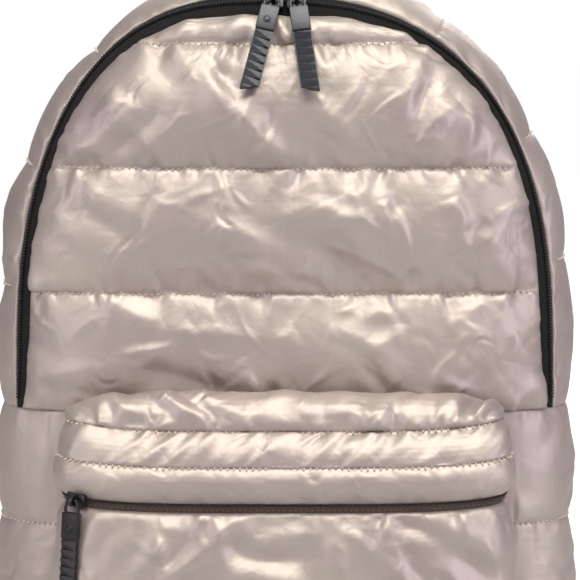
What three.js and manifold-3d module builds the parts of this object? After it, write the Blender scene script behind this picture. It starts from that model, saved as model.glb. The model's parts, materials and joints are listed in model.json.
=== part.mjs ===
// Quilted puffer backpack with a padded arch body, a puffed front pocket and two shoulder straps.
// Millimetres. X runs to the right, Y to the back and Z up.
// The origin is the middle of the bottom panel's flat underside.

import * as THREE from 'three';
import { mergeVertices } from 'three/addons/utils/BufferGeometryUtils.js';
import Module from 'manifold-3d';

const wasm = await Module();
wasm.setup();

// Gaps between neighbouring pieces
const GAP = 0.3;
const SEAM_GAP = 0.8;

// Body form, measured to the stitched seams: the padding stands out from it
const BODY_HEIGHT = 415.3;
const BODY_WIDTH = 286.6;
const SIDE_FLARE = 4;
const SPRING_HEIGHT = 245;
const ARCH_STRAIGHT = 0.12;
const ARCH_POWER = 2.1;
const FRONT_DEPTH = 70;
const FRONT_POWER = 4;
const BACK_DEPTH = 66;
const BACK_POWER = 6;
const BOTTOM_RADIUS = 24;

// Padding: thickness at the stitches, fullness between them and how soon it rises from a seam
const STITCHED_OUT = 1.2;
const LINING_IN = 1.6;
const PUFF = 7;
const SIDE_PUFF = 3.2;
const BACK_PUFF = 3;
const PUFF_POWER = 0.6;
const PUFF_RUN = 24;
const TOP_CHANNEL_FULLNESS = 0.45;
const PANEL_TOP_HALF_WIDTH = 24;
const QUILT_PITCH = 62;
const END_FULLNESS = 0.6;

// Seams that run across the bag
const MIDDLE_SEAM = 195.9;
const BOTTOM_SEAM = 3;
const BOTTOM_THICKNESS = 5;
const BACK_SEAM = 0.955;

// Main zipper: the arch of its outer edge, and how much of it shows at the sides and the crown
const ZIP_FROM_SIDE = 8.3;
const ZIP_FROM_CROWN = 13.3;
const ZIP_HALF_WIDTH = BODY_WIDTH / 2 - ZIP_FROM_SIDE;
const ZIP_CROWN = BODY_HEIGHT - ZIP_FROM_CROWN;
const ZIP_SPRING = 215;
const ZIP_OUTER_POWER = 2.5;
const ZIP_INNER_POWER = 2.7;
const ZIP_SIDE_SHOWS = 6.2;
const ZIP_CROWN_SHOWS = 8.6;
const ZIP_END_SHOWS = 1.8;
const ZIP_SKEW = 8;
const ZIP_SKEW_POWER = 6;
const ZIP_CLOSING = 40;
const TAPE_OUT = 0.4;
const TAPE_IN = 1.0;
const COIL_WIDTH = 3;
const COIL_HEIGHT = 1.4;
const COIL_PLACE = 0.55;

// Front pocket: heights and plan of its seams
const POCKET_OVER_SEAM = 0.7;
const POCKET_TOP = MIDDLE_SEAM + POCKET_OVER_SEAM;
const POCKET_BOTTOM = 18;
const POCKET_HALF_WIDTH = 110;
const POCKET_END_LIFT = 5;
const POCKET_REACH = 42;
const POCKET_FRONT = FRONT_DEPTH + POCKET_REACH;
const POCKET_POWER = 7;
const POCKET_PUFF = 6;
const LIP_PUFF = 4.5;
const BAND_PUFF = 2.7;
const CREST_PUFF = 1.5;
const CREST_RISE = 14;
const CREST_RUN = 28;
const CREST_POWER = 5;
const CREST_LEAN = 0.8;
const CREST_RIM = 0.006;
const CREST_CLEAR = 0.7;
const POCKET_BACKING = 0.25;
const POCKET_SHADOW = 30;
const POCKET_SLIDER_OUT = 99.5;
const POCKET_ZIP_LIFT = 0.4;
const POCKET_SLIDER_WIDTH = 6;
const POCKET_COIL_WIDTH = 2;

// Sliders and pulls
const SLIDER_LENGTH = 10;
const SLIDER_WIDTH = 9;
const SLIDER_PLATE = 1.2;
const SLIDER_PLAY = 0.6;
const EYE_RADIUS = 2.8;
const EYE_LIFT = 1.2;
const EYE_HOLE = 1.5;
const EYE_FLOOR = 0.1;
const EYE_THICKNESS = 2;
const RING_WIDTH = 8.8;
const RING_TOP_WIDTH = 6;
const RING_LENGTH = 9;
const RING_BAR = 1.4;
const RING_THICKNESS = 1.4;
const RING_WAIST = 0.42;
const RING_TAPER = 0.5;
const TAB_WIDTH = 9.4;
const TAB_LENGTH = 46.5;
const TAB_THICKNESS = 3.2;
const TAB_FOLD = 13;
const TAB_SLANT = 3.2;
const TAB_SHOULDER = 1;
const TAB_CROWN = 0.2;
const TAB_DROP = 0.4;
const TOOTH_PITCH = 4.3;
const TOOTH_DEPTH = 0.7;
const TOOTH_CREST = 0.55;
const GROOVE = 1;
const RIVET_RADIUS = 1.9;
const RIVET_HEIGHT = 0.5;
const RIVET_PLACE = 0.6;
const TAB_CLEARANCE = 0.4;

// Haul loop and shoulder straps
const LOOP_SPAN = 70;
const LOOP_ABOVE = 30.7;
const LOOP_BELOW = 34.3;
const LOOP_SEWN = 19;
const LOOP_LEAN = 3;
const LOOP_GRIP_WIDTH = 11.2;
const LOOP_GRIP_THICKNESS = 7;
const LOOP_WIDTH = 18;
const LOOP_THICKNESS = 3.4;
const STRAP_WIDTH = 64;
const STRAP_THICKNESS = 11;
const STRAP_BELOW = 43.3;
const STRAP_TOP = BODY_HEIGHT - STRAP_BELOW;
const STRAP_END = 112;
const STRAP_STAND_OFF = 32;
const STRAP_TOP_SPREAD = 38;
const STRAP_END_SPREAD = 86;
const LOCK_WIDTH = 34;
const LOCK_LENGTH = 26;
const LOCK_THICKNESS = 4;
const LOCK_BAR = 4;
const LOCK_GAP = 0.7;
const LOCK_CORNER = 4;
const SLOT_PLAY = 1;
const WEBBING_WIDTH = 25;
const WEBBING_THICKNESS = 1.6;
const WEBBING_TAIL = 52;
const WEBBING_SEWN = 10;
const WEBBING_LEAN = 3;
const WEBBING_FROM_SIDE = 35.3;
const WEBBING_ANCHOR_SPREAD = BODY_WIDTH / 2 - WEBBING_FROM_SIDE;
const WEBBING_ANCHOR_HEIGHT = 34;

// How finely the soft surfaces are divided
const CHANNEL_STEPS = 5;
const PANEL_COLUMNS = 18;
const BACK_STEPS = 3;
const GUSSET_DEPTHS = [0, 0.07, 0.22, 0.48, 0.76, 0.93, 1];
const BACK_COLUMNS = [1, 0.94, 0.82, 0.62, 0.36, 0, -0.36, -0.62, -0.82, -0.94, -1];
const BACK_TOP_ROWS = [0.17, 0.34, 0.51, 0.65, 0.78, 0.88, 0.95, 1];
const FACE_ROWS = [0, 0.125, 0.25, 0.5, 0.62, 0.75, 0.8, 0.87, 0.94, 1];

// Quilt lines of the front panel, the back and the lower body. The first two follow the body's
// height, the last the height of the middle seam.
const FRONT_LINES = [MIDDLE_SEAM, ...[0.6145, 0.7638, 0.9116].map((share) => share * BODY_HEIGHT)];
const BACK_LINES = [BOTTOM_SEAM, ...[0.241, 0.472, 0.698].map((share) => share * BODY_HEIGHT)];
const LOWER_LINES = [BOTTOM_SEAM, ...[0.357, 0.707, 1].map((share) => share * MIDDLE_SEAM)];

// Stitched ribs of the arched side strip, as shares of its length from the left end to the right
const GUSSET_RIBS = [0, 0.103, 0.21, 0.322, 0.429, 0.535, 0.643, 0.765, 0.874, 1];

// Main dents of the front panel: ends as shares of its half width and of the body's height,
// depth as a share of the padding, and half width as a share of the quilt pitch
const FRONT_DENTS = [
  { name: 'dark fold right', x0: 0.52, z0: 0.81, x1: 0.58, z1: 0.86, depth: 0.42, spread: 0.12 },
  { name: 'dent left', x0: -0.30, z0: 0.85, x1: -0.20, z1: 0.80, depth: 0.35, spread: 0.16 },
  { name: 'crease middle', x0: 0.02, z0: 0.67, x1: 0.32, z1: 0.62, depth: 0.40, spread: 0.14 },
  { name: 'crease left', x0: -0.95, z0: 0.50, x1: -0.42, z1: 0.53, depth: 0.30, spread: 0.12 },
  { name: 'crease low', x0: -0.35, z0: 0.52, x1: 0.05, z1: 0.485, depth: 0.35, spread: 0.12 },
  { name: 'fold right', x0: 0.45, z0: 0.50, x1: 0.70, z1: 0.56, depth: -0.20, spread: 0.16 },
];

// Rows of the pocket from its bottom to its top, at the stitched surface.
// height is a share of the pocket's height, width and front are shares of its half width and reach.
const POCKET_ROWS = {
  face: [
    { name: 'bottom seam', height: 0, width: 0.85, front: 0 },
    { name: 'bottom turn', height: 0.035, width: 0.93, front: 0.66 },
    { name: 'lower face', height: 0.13, width: 0.965, front: 0.92 },
    { name: 'quilt line', height: 0.39, width: 0.975, front: 0.98 },
    { name: 'face top', height: 0.752, width: 0.975, front: 0.985 },
  ],
  lip: [
    { name: 'lip bottom', height: 0.79, width: 0.985, front: 1 },
    { name: 'lip seam', height: 0.869, width: 1.004, front: 1.03 },
  ],
  band: [
    { name: 'band bottom', height: 0.882, width: 1.004, front: 1.03 },
    { name: 'stitched row', height: 0.963, width: 0.965, front: 0.80 },
  ],
};

// Puffed lines of the pocket face, as shares of the pocket's height
const FACE_LINES = [0, 0.39, 0.752];

// Course of a shoulder strap from its top to its end: share of the drop, share of the way
// outwards, stand-off as a share of the largest, width and thickness as shares of the fullest
const STRAP_COURSE = [
  { drop: 0, out: 0, off: 0, width: 0.80, thickness: 0.30 },
  { drop: 0.06, out: 0.06, off: 0.22, width: 0.88, thickness: 0.80 },
  { drop: 0.25, out: 0.38, off: 0.80, width: 0.98, thickness: 1 },
  { drop: 0.50, out: 0.74, off: 1, width: 1, thickness: 1 },
  { drop: 0.76, out: 0.94, off: 0.72, width: 0.86, thickness: 0.95 },
  { drop: 0.94, out: 1, off: 0.36, width: 0.55, thickness: 0.62 },
  { drop: 1, out: 1, off: 0.30, width: 0.40, thickness: 0.26 },
];

const FRONT = { side: -1, depth: FRONT_DEPTH, power: FRONT_POWER };
const BACK = { side: 1, depth: BACK_DEPTH, power: BACK_POWER };

const MATERIALS = {
  pearl: { color: 0xcbbcb2, roughness: 0.34, metalness: 0.35 },
  tape: { color: 0x17171a, roughness: 0.8, metalness: 0 },
  coil: { color: 0x26262a, roughness: 0.45, metalness: 0 },
  taupe: { color: 0x6e5f57, roughness: 0.7, metalness: 0 },
  metal: { color: 0x3a3b40, roughness: 0.35, metalness: 0.9 },
  tab: { color: 0x3a3c43, roughness: 0.5, metalness: 0.1 },
  plastic: { color: 0x1c1c1f, roughness: 0.5, metalness: 0 },
  webbing: { color: 0x1d1d20, roughness: 0.85, metalness: 0 },
};

const lerp = THREE.MathUtils.lerp;
const vector = (x, y, z) => new THREE.Vector3(x, y, z);

// Small helpers

// Values from first to last in equal steps.
function spaced(first, last, steps) {
  return Array.from({ length: steps + 1 }, (_, index) => lerp(first, last, index / steps));
}

// Values that divide every interval of a list into equal steps.
function divided(lines, steps) {
  const values = [lines[0]];
  for (let index = 1; index < lines.length; index += 1) {
    values.push(...spaced(lines[index - 1], lines[index], steps).slice(1));
  }
  return values;
}

// Fullness of the padding, 0 on a quilt line and 1 midway between two of them.
function fullness(value, lines) {
  const last = lines.length - 1;
  const index = lines.findIndex((line, place) => place > 0 && (value <= line || place === last));
  const share = (value - lines[index - 1]) / (lines[index] - lines[index - 1]);
  return Math.sin(Math.PI * THREE.MathUtils.clamp(share, 0, 1)) ** PUFF_POWER;
}

// How far the padding has risen at a distance from a seam, from 0 to 1.
function rise(distance) {
  return Math.sqrt(THREE.MathUtils.clamp(distance / PUFF_RUN, 0, 1));
}

function geometryFrom(positions, index) {
  const geometry = new THREE.BufferGeometry();
  geometry.setAttribute('position', new THREE.Float32BufferAttribute(positions, 3));
  geometry.setIndex(index);
  geometry.computeVertexNormals();
  return geometry;
}

// A padded sheet: a grid of points over a surface, moved out to the shell fabric and in to the
// lining along the surface's normal, and closed round its border.
function paddedSheet(us, vs, surface, outward, inward) {
  const columns = us.length;
  const rows = vs.length;
  const outer = [];
  const inner = [];
  const uStep = (us[columns - 1] - us[0]) * 1e-4;
  const vStep = (vs[rows - 1] - vs[0]) * 1e-4;
  const within = (value, list) => {
    const low = Math.min(list[0], list[list.length - 1]);
    const high = Math.max(list[0], list[list.length - 1]);
    return THREE.MathUtils.clamp(value, low, high);
  };
  for (const v of vs) {
    for (const u of us) {
      const point = surface(u, v);
      const along = surface(within(u + uStep, us), v).sub(surface(within(u - uStep, us), v));
      const across = surface(u, within(v + vStep, vs)).sub(surface(u, within(v - vStep, vs)));
      const normal = along.cross(across).normalize();
      outer.push(point.clone().addScaledVector(normal, outward(u, v, point)));
      inner.push(point.clone().addScaledVector(normal, -inward));
    }
  }
  const index = [];
  const at = (column, row) => row * columns + column;
  const innerAt = (column, row) => rows * columns + at(column, row);
  const quad = (a, b, c, d) => index.push(a, b, c, a, c, d);
  for (let row = 0; row + 1 < rows; row += 1) {
    for (let column = 0; column + 1 < columns; column += 1) {
      quad(at(column, row), at(column + 1, row), at(column + 1, row + 1), at(column, row + 1));
      quad(
        innerAt(column, row), innerAt(column, row + 1),
        innerAt(column + 1, row + 1), innerAt(column + 1, row),
      );
    }
    const right = columns - 1;
    quad(at(0, row), at(0, row + 1), innerAt(0, row + 1), innerAt(0, row));
    quad(at(right, row), innerAt(right, row), innerAt(right, row + 1), at(right, row + 1));
  }
  for (let column = 0; column + 1 < columns; column += 1) {
    const top = rows - 1;
    quad(at(column, 0), innerAt(column, 0), innerAt(column + 1, 0), at(column + 1, 0));
    quad(at(column, top), at(column + 1, top), innerAt(column + 1, top), innerAt(column, top));
  }
  const positions = [...outer, ...inner].flatMap((point) => [point.x, point.y, point.z]);
  return geometryFrom(positions, index);
}

// A strip swept through stations. Each station has a centre, a side direction, a width and a
// thickness, and the section has the given number of corners, 4 for a flat rectangle.
function sweptStrip(stations, corners) {
  const positions = [];
  const index = [];
  stations.forEach((station, place) => {
    const before = stations[Math.max(0, place - 1)].centre;
    const after = stations[Math.min(stations.length - 1, place + 1)].centre;
    const tangent = after.clone().sub(before).normalize();
    const side = station.side.clone().addScaledVector(tangent, -station.side.dot(tangent)).normalize();
    const normal = tangent.clone().cross(side);
    for (let corner = 0; corner < corners; corner += 1) {
      const angle = (Math.PI * (2 * corner + 1)) / corners;
      const reach = 1 / Math.cos(Math.PI / corners) / 2;
      const across = reach * Math.cos(angle) * station.width;
      const up = reach * Math.sin(angle) * station.thickness;
      const point = station.centre.clone().addScaledVector(side, across).addScaledVector(normal, up);
      positions.push(point.x, point.y, point.z);
    }
  });
  const last = stations.length - 1;
  for (let ring = 0; ring < last; ring += 1) {
    for (let corner = 0; corner < corners; corner += 1) {
      const next = (corner + 1) % corners;
      const a = ring * corners + corner;
      const b = ring * corners + next;
      index.push(a, b, b + corners, a, b + corners, a + corners);
    }
  }
  for (let corner = 1; corner + 1 < corners; corner += 1) {
    index.push(0, corner + 1, corner);
    index.push(last * corners, last * corners + corner, last * corners + corner + 1);
  }
  return geometryFrom(positions, index);
}

// Booleans on closed geometries
function solid(geometry) {
  const bare = geometry.clone();
  bare.deleteAttribute('normal');
  bare.deleteAttribute('uv');
  const merged = mergeVertices(bare, 1e-4);
  const triVerts = Uint32Array.from(merged.index.array);
  const vertProperties = Float32Array.from(merged.attributes.position.array);
  return new wasm.Manifold(new wasm.Mesh({ numProp: 3, vertProperties, triVerts }));
}

function fromSolid(shape) {
  const result = shape.getMesh();
  return geometryFrom(Array.from(result.vertProperties), Array.from(result.triVerts));
}

function box(width, depth, height, x, y, z) {
  return solid(new THREE.BoxGeometry(width, depth, height).translate(x, y, z));
}

// An outline in X and Z, extruded along Y and centred on y = 0.
function plate(points, thickness, holes = []) {
  const shape = new THREE.Shape(points.map(([x, z]) => new THREE.Vector2(x, z)));
  for (const hole of holes) {
    shape.holes.push(new THREE.Path(hole.map(([x, z]) => new THREE.Vector2(x, z))));
  }
  const geometry = new THREE.ExtrudeGeometry(shape, { depth: thickness, bevelEnabled: false });
  return geometry.translate(0, 0, -thickness / 2).rotateX(Math.PI / 2);
}

function named(name, geometry, material) {
  const piece = new THREE.Mesh(geometry, new THREE.MeshStandardMaterial(MATERIALS[material]));
  piece.name = name;
  return piece;
}

// Body surface

// How far the walls have turned in towards the bottom panel at a height.
function cornerInset(z) {
  const drop = THREE.MathUtils.clamp(BOTTOM_RADIUS - z, 0, BOTTOM_RADIUS);
  return BOTTOM_RADIUS - Math.sqrt(BOTTOM_RADIUS ** 2 - drop ** 2);
}

function halfWidth(z) {
  const below = Math.max(0, 1 - z / SPRING_HEIGHT);
  return BODY_WIDTH / 2 + SIDE_FLARE * below - cornerInset(z);
}

// 0 on the body's middle line and 1 on its silhouette.
function spreadAt(x, z) {
  const across = Math.abs(x) / halfWidth(z);
  if (z <= SPRING_HEIGHT) return across;
  const up = (z - SPRING_HEIGHT) / (BODY_HEIGHT - SPRING_HEIGHT);
  return (across ** ARCH_POWER + up ** ARCH_POWER) ** (1 / ARCH_POWER);
}

function faceY(x, z, face) {
  const room = Math.max(0, 1 - spreadAt(x, z) ** face.power);
  return face.side * (face.depth - cornerInset(z)) * room ** (1 / face.power);
}

// The silhouette of the arch from the left end of the middle seam over the crown to the right.
class ArchOutline extends THREE.Curve {
  getPoint(t, target = new THREE.Vector3()) {
    const straight = ARCH_STRAIGHT;
    const side = t < 0.5 ? -1 : 1;
    const climb = Math.min(t, 1 - t);
    if (climb < straight) {
      const z = lerp(MIDDLE_SEAM + GAP, SPRING_HEIGHT, climb / straight);
      return target.set(side * halfWidth(z), 0, z);
    }
    const angle = (Math.PI / 2) * ((climb - straight) / (0.5 - straight));
    const power = 2 / ARCH_POWER;
    const x = side * (BODY_WIDTH / 2) * Math.max(0, Math.cos(angle)) ** power;
    const z = SPRING_HEIGHT + (BODY_HEIGHT - SPRING_HEIGHT) * Math.sin(angle) ** power;
    return target.set(x, 0, z);
  }
}

const ARCH = new ArchOutline();
ARCH.arcLengthDivisions = 400;

// The point on the arch's stitched surface at a share of its length and at a depth y.
function archPoint(share, y) {
  const outline = ARCH.getPointAt(share);
  const hub = Math.min(outline.z, SPRING_HEIGHT);
  const face = y < 0 ? FRONT : BACK;
  const room = Math.max(0, 1 - (Math.abs(y) / face.depth) ** face.power);
  const spread = room ** (1 / face.power);
  return vector(outline.x * spread, y, hub + (outline.z - hub) * spread);
}

// Zipper edges. The inner edge closes on the outer one towards the zipper's ends, and the front
// panel's own edge lies a seam's gap inside it.
function zipEdge(z, edge) {
  const shown = edge === 'outer' ? 0 : 1;
  const clear = edge === 'panel' ? SEAM_GAP : 0;
  const closing = THREE.MathUtils.clamp((z - MIDDLE_SEAM) / ZIP_CLOSING, 0, 1);
  const sideShows = shown * lerp(ZIP_END_SHOWS, ZIP_SIDE_SHOWS, Math.sqrt(closing));
  return {
    width: ZIP_HALF_WIDTH - sideShows - clear,
    climb: ZIP_CROWN - shown * ZIP_CROWN_SHOWS - clear - ZIP_SPRING,
    power: edge === 'outer' ? ZIP_OUTER_POWER : ZIP_INNER_POWER,
  };
}

// The zipper's arch leans a little to the left as it nears its crown.
function zipMiddle(z) {
  const up = THREE.MathUtils.clamp((z - ZIP_SPRING) / (ZIP_CROWN - ZIP_SPRING), 0, 1);
  return -ZIP_SKEW * up ** ZIP_SKEW_POWER;
}

function zipHalfWidth(z, edge) {
  const { width, climb, power } = zipEdge(z, edge);
  const up = THREE.MathUtils.clamp((z - ZIP_SPRING) / climb, 0, 1);
  return width * (1 - up ** power) ** (1 / power);
}

// The height at which a zipper edge is at a distance from the middle.
function zipHeight(x, edge) {
  const { width, climb, power } = zipEdge(ZIP_CROWN, edge);
  return ZIP_SPRING + climb * (1 - (x / width) ** power) ** (1 / power);
}

function outsideZip(x, z, edge) {
  const { width, climb, power } = zipEdge(z, edge);
  const up = Math.max(0, z - ZIP_SPRING) / climb;
  return (Math.abs(x - zipMiddle(z)) / width) ** power + up ** power > 1;
}

// The depth at which a rib of the arch crosses a zipper edge.
function zipDepth(share, edge) {
  const outline = ARCH.getPointAt(share);
  const hub = Math.min(outline.z, SPRING_HEIGHT);
  let low = 0.5;
  let high = 1;
  for (let turn = 0; turn < 40; turn += 1) {
    const middle = (low + high) / 2;
    if (outsideZip(outline.x * middle, hub + (outline.z - hub) * middle, edge)) high = middle;
    else low = middle;
  }
  return -FRONT_DEPTH * (1 - low ** FRONT_POWER) ** (1 / FRONT_POWER);
}

// Body panels

function frontDent(x, z) {
  const halfPanel = ZIP_HALF_WIDTH - ZIP_SIDE_SHOWS;
  let depth = 0;
  for (const dent of FRONT_DENTS) {
    const start = new THREE.Vector2(dent.x0 * halfPanel, dent.z0 * BODY_HEIGHT);
    const line = new THREE.Vector2(dent.x1 * halfPanel, dent.z1 * BODY_HEIGHT).sub(start);
    const place = new THREE.Vector2(x, z).sub(start);
    const share = THREE.MathUtils.clamp(place.dot(line) / line.lengthSq(), 0, 1);
    const distance = place.addScaledVector(line, -share).length();
    depth += dent.depth * Math.exp(-((distance / (dent.spread * QUILT_PITCH)) ** 2));
  }
  return PUFF * depth;
}

// Padding of the front panel in front of its stitched surface.
function frontPadding(x, z) {
  const lines = [...FRONT_LINES, zipHeight(0, 'panel')];
  const narrow = z > FRONT_LINES[FRONT_LINES.length - 1] ? TOP_CHANNEL_FULLNESS : 1;
  const full = fullness(z, lines) * narrow * rise(zipHalfWidth(z, 'panel') - Math.abs(x - zipMiddle(z)));
  return STITCHED_OUT + full * Math.max(0, PUFF - frontDent(x, z));
}

function frontPanel() {
  const top = zipHeight(PANEL_TOP_HALF_WIDTH, 'panel');
  const upper = spaced(0, 1, 5).slice(1).map((share) => lerp(FRONT_LINES[3], top, share ** 0.6));
  const heights = [...divided([FRONT_LINES[0] + GAP, ...FRONT_LINES.slice(1)], CHANNEL_STEPS), ...upper];
  const columns = spaced(-1, 1, PANEL_COLUMNS);
  const surface = (u, z) => {
    const x = zipMiddle(z) + u * zipHalfWidth(z, 'panel');
    return vector(x, faceY(x, z, FRONT), z);
  };
  const outward = (u, z, point) => frontPadding(point.x, z);
  return named('front_panel', paddedSheet(columns, heights, surface, outward, LINING_IN), 'pearl');
}

function upperGusset() {
  const shares = divided(GUSSET_RIBS, CHANNEL_STEPS);
  const backEdge = BACK_DEPTH * (1 - BACK_SEAM ** BACK_POWER) ** (1 / BACK_POWER) - SEAM_GAP;
  const length = ARCH.getLength();
  const depthAt = (share, v) => lerp(zipDepth(share, 'outer') + SEAM_GAP, backEdge, v);
  const surface = (share, v) => archPoint(share, depthAt(share, v));
  const outward = (share, v) => {
    const span = depthAt(share, 1) - depthAt(share, 0);
    const fromEnd = Math.min(share, 1 - share) * length;
    const full = fullness(share, GUSSET_RIBS) * rise(Math.min(v, 1 - v) * span);
    return STITCHED_OUT + SIDE_PUFF * full * Math.min(1, END_FULLNESS + fromEnd / QUILT_PITCH);
  };
  return named('upper_gusset', paddedSheet(shares, GUSSET_DEPTHS, surface, outward, LINING_IN), 'pearl');
}

// Plan of the lower body: an angle of 0 is the left silhouette, 90 the middle of the front and
// 180 the right silhouette. Beyond them the wall runs on to the back seams.
function planPoint(degrees, z) {
  const angle = THREE.MathUtils.degToRad(degrees);
  const face = Math.sin(angle) >= 0 ? FRONT : BACK;
  const power = 2 / face.power;
  const x = -Math.sign(Math.cos(angle)) * halfWidth(z) * Math.abs(Math.cos(angle)) ** power;
  const reach = Math.abs(Math.sin(angle)) ** power;
  return vector(x, face.side * (face.depth - cornerInset(z)) * reach, z);
}

// Angles of the plan that divide its length at mid height into equal steps.
function planAngles(steps) {
  const backAngle = THREE.MathUtils.radToDeg(Math.acos(BACK_SEAM ** (BACK_POWER / 2)));
  class Plan extends THREE.Curve {
    getPoint(t) {
      return planPoint(lerp(-backAngle, 180 + backAngle, t), MIDDLE_SEAM);
    }
  }
  const plan = new Plan();
  plan.arcLengthDivisions = 2000;
  return spaced(0, 1, steps).map((share) => (
    lerp(-backAngle, 180 + backAngle, plan.getUtoTmapping(share))
  ));
}

function lowerBody() {
  const turn = spaced(0, 1, 4).slice(1, -1).map((share) => lerp(BOTTOM_SEAM, BOTTOM_RADIUS, share ** 1.5));
  const [, lowLine, highLine] = LOWER_LINES;
  const low = spaced(BOTTOM_RADIUS, lowLine, 3);
  const high = divided([lowLine, highLine, MIDDLE_SEAM - GAP], CHANNEL_STEPS).slice(1);
  const heights = [BOTTOM_SEAM, ...turn, ...low, ...high];
  const angles = planAngles(26);
  const edge = halfWidth(MIDDLE_SEAM) + BACK_DEPTH;
  const outward = (degrees, z, point) => {
    const fromBackSeam = edge - Math.abs(point.x) - Math.max(0, point.y) - STITCHED_OUT;
    const besidePocket = Math.abs(point.x) - POCKET_HALF_WIDTH - POCKET_PUFF;
    const onSide = point.y > -POCKET_SHADOW ? 1 : lerp(POCKET_BACKING, 1, rise(besidePocket));
    return STITCHED_OUT + SIDE_PUFF * fullness(z, LOWER_LINES) * rise(fromBackSeam) * onSide;
  };
  return named('lower_body', paddedSheet(angles, heights, planPoint, outward, LINING_IN), 'pearl');
}

function backHalfWidth(z) {
  const up = Math.max(0, z - SPRING_HEIGHT) / (BODY_HEIGHT - SPRING_HEIGHT);
  const room = Math.max(0, BACK_SEAM ** ARCH_POWER - up ** ARCH_POWER);
  return halfWidth(z) * room ** (1 / ARCH_POWER);
}

function backPadding(x, z) {
  const top = SPRING_HEIGHT + BACK_SEAM * (BODY_HEIGHT - SPRING_HEIGHT);
  const full = fullness(z, [...BACK_LINES, top]) * rise(backHalfWidth(z) - Math.abs(x));
  return STITCHED_OUT + BACK_PUFF * full;
}

// Depth of the back panel's outside, for what lies on it.
function backOutside(x, z) {
  return faceY(x, z, BACK) + backPadding(x, z);
}

function backPanel() {
  const top = SPRING_HEIGHT + BACK_SEAM * (BODY_HEIGHT - SPRING_HEIGHT) - STITCHED_OUT;
  const last = BACK_LINES[BACK_LINES.length - 1];
  const turn = spaced(BOTTOM_SEAM, BOTTOM_RADIUS, BACK_STEPS);
  const quilted = divided([BOTTOM_RADIUS, ...BACK_LINES.slice(1)], BACK_STEPS).slice(1);
  const heights = [...turn, ...quilted, ...BACK_TOP_ROWS.map((share) => lerp(last, top, share))];
  const surface = (u, z) => {
    const x = u * (backHalfWidth(z) - SEAM_GAP);
    return vector(x, faceY(x, z, BACK), z);
  };
  const outward = (u, z, point) => backPadding(point.x, z);
  return named('back_panel', paddedSheet(BACK_COLUMNS, heights, surface, outward, LINING_IN), 'pearl');
}

function bottomPanel() {
  const rim = spaced(0, 360, 40).slice(0, -1).map((degrees) => {
    const point = planPoint(degrees, BOTTOM_SEAM);
    const inward = 1 - (LINING_IN + SEAM_GAP) / Math.hypot(point.x, point.y);
    return [point.x * inward, point.y * inward];
  });
  const shape = new THREE.Shape(rim.map(([x, y]) => new THREE.Vector2(x, y)));
  const geometry = new THREE.ExtrudeGeometry(shape, { depth: BOTTOM_THICKNESS, bevelEnabled: false });
  return named('bottom_panel', geometry, 'pearl');
}

// Main zipper

function mainTape() {
  const shares = divided(GUSSET_RIBS, CHANNEL_STEPS);
  const surface = (share, v) => archPoint(share, lerp(zipDepth(share, 'inner'), zipDepth(share, 'outer'), v));
  return named('main_zip_tape', paddedSheet(shares, [0, 1], surface, () => TAPE_OUT, TAPE_IN), 'tape');
}

// Middle of the coil, which lies at a share of the tape's width from the inner edge.
function coilPoint(share) {
  return archPoint(share, lerp(zipDepth(share, 'inner'), zipDepth(share, 'outer'), COIL_PLACE));
}

function archNormal(share) {
  const along = coilPoint(share + 1e-3).sub(coilPoint(share - 1e-3));
  const inner = archPoint(share, zipDepth(share, 'inner'));
  const outer = archPoint(share, zipDepth(share, 'outer'));
  return along.cross(outer.sub(inner)).normalize();
}

// A coil as a low strip that stands on its tape, lower at its edges than along its middle.
function coilStations(shares, pointAt, normalAt) {
  return shares.map((share) => {
    const lift = TAPE_OUT + GAP + COIL_HEIGHT / 2;
    const normal = normalAt(share);
    const along = pointAt(Math.min(1, share + 1e-3)).sub(pointAt(Math.max(0, share - 1e-3)));
    const side = normal.clone().cross(along).normalize();
    const centre = pointAt(share).addScaledVector(normal, lift);
    return { centre, side, width: COIL_WIDTH, thickness: COIL_HEIGHT };
  });
}

function mainCoil() {
  const shares = spaced(0.03, 0.97, 36);
  return named('main_zip_coil', sweptStrip(coilStations(shares, coilPoint, archNormal), 4), 'coil');
}

// Front pocket

function pocketRow(rows, v) {
  const reach = THREE.MathUtils.clamp(v, 0, 1) * (rows.length - 1);
  const place = Math.min(rows.length - 2, Math.floor(reach));
  const share = reach - place;
  const mix = (key) => lerp(rows[place][key], rows[place + 1][key], share);
  return { height: mix('height'), width: mix('width'), front: mix('front') };
}

// A point of the pocket's stitched surface. The angle runs from 0 at the left to 180 at the right,
// and both ends stop at the body's front.
function pocketPoint(degrees, row) {
  const angle = THREE.MathUtils.degToRad(degrees);
  const power = 2 / POCKET_POWER;
  const half = row.width * POCKET_HALF_WIDTH;
  const outwards = Math.abs(Math.cos(angle)) ** power;
  const x = -Math.sign(Math.cos(angle)) * half * outwards;
  const z = lerp(POCKET_BOTTOM, POCKET_TOP, row.height) + POCKET_END_LIFT * row.height * outwards ** 4;
  const bodyClear = STITCHED_OUT + SIDE_PUFF * POCKET_BACKING + LINING_IN + GAP;
  const start = bodyClear - faceY(half, z, FRONT);
  const front = lerp(start, POCKET_FRONT, row.front);
  const reach = lerp(start, front, Math.max(0, Math.sin(angle)) ** power);
  return vector(x, -Math.max(reach, bodyClear - faceY(x, z, FRONT)), z);
}

function pocketAngles() {
  class Plan extends THREE.Curve {
    getPoint(t) {
      return pocketPoint(180 * t, POCKET_ROWS.face[3]);
    }
  }
  const plan = new Plan();
  plan.arcLengthDivisions = 2000;
  return spaced(0, 1, 22).map((share) => 180 * plan.getUtoTmapping(share));
}

function pocketPiece(name, rows, vs, outward) {
  const surface = (degrees, v) => pocketPoint(degrees, pocketRow(rows, v));
  const out = (degrees, v) => outward(pocketRow(rows, v), v);
  return named(name, paddedSheet(pocketAngles(), vs, surface, out, LINING_IN), 'pearl');
}

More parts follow.
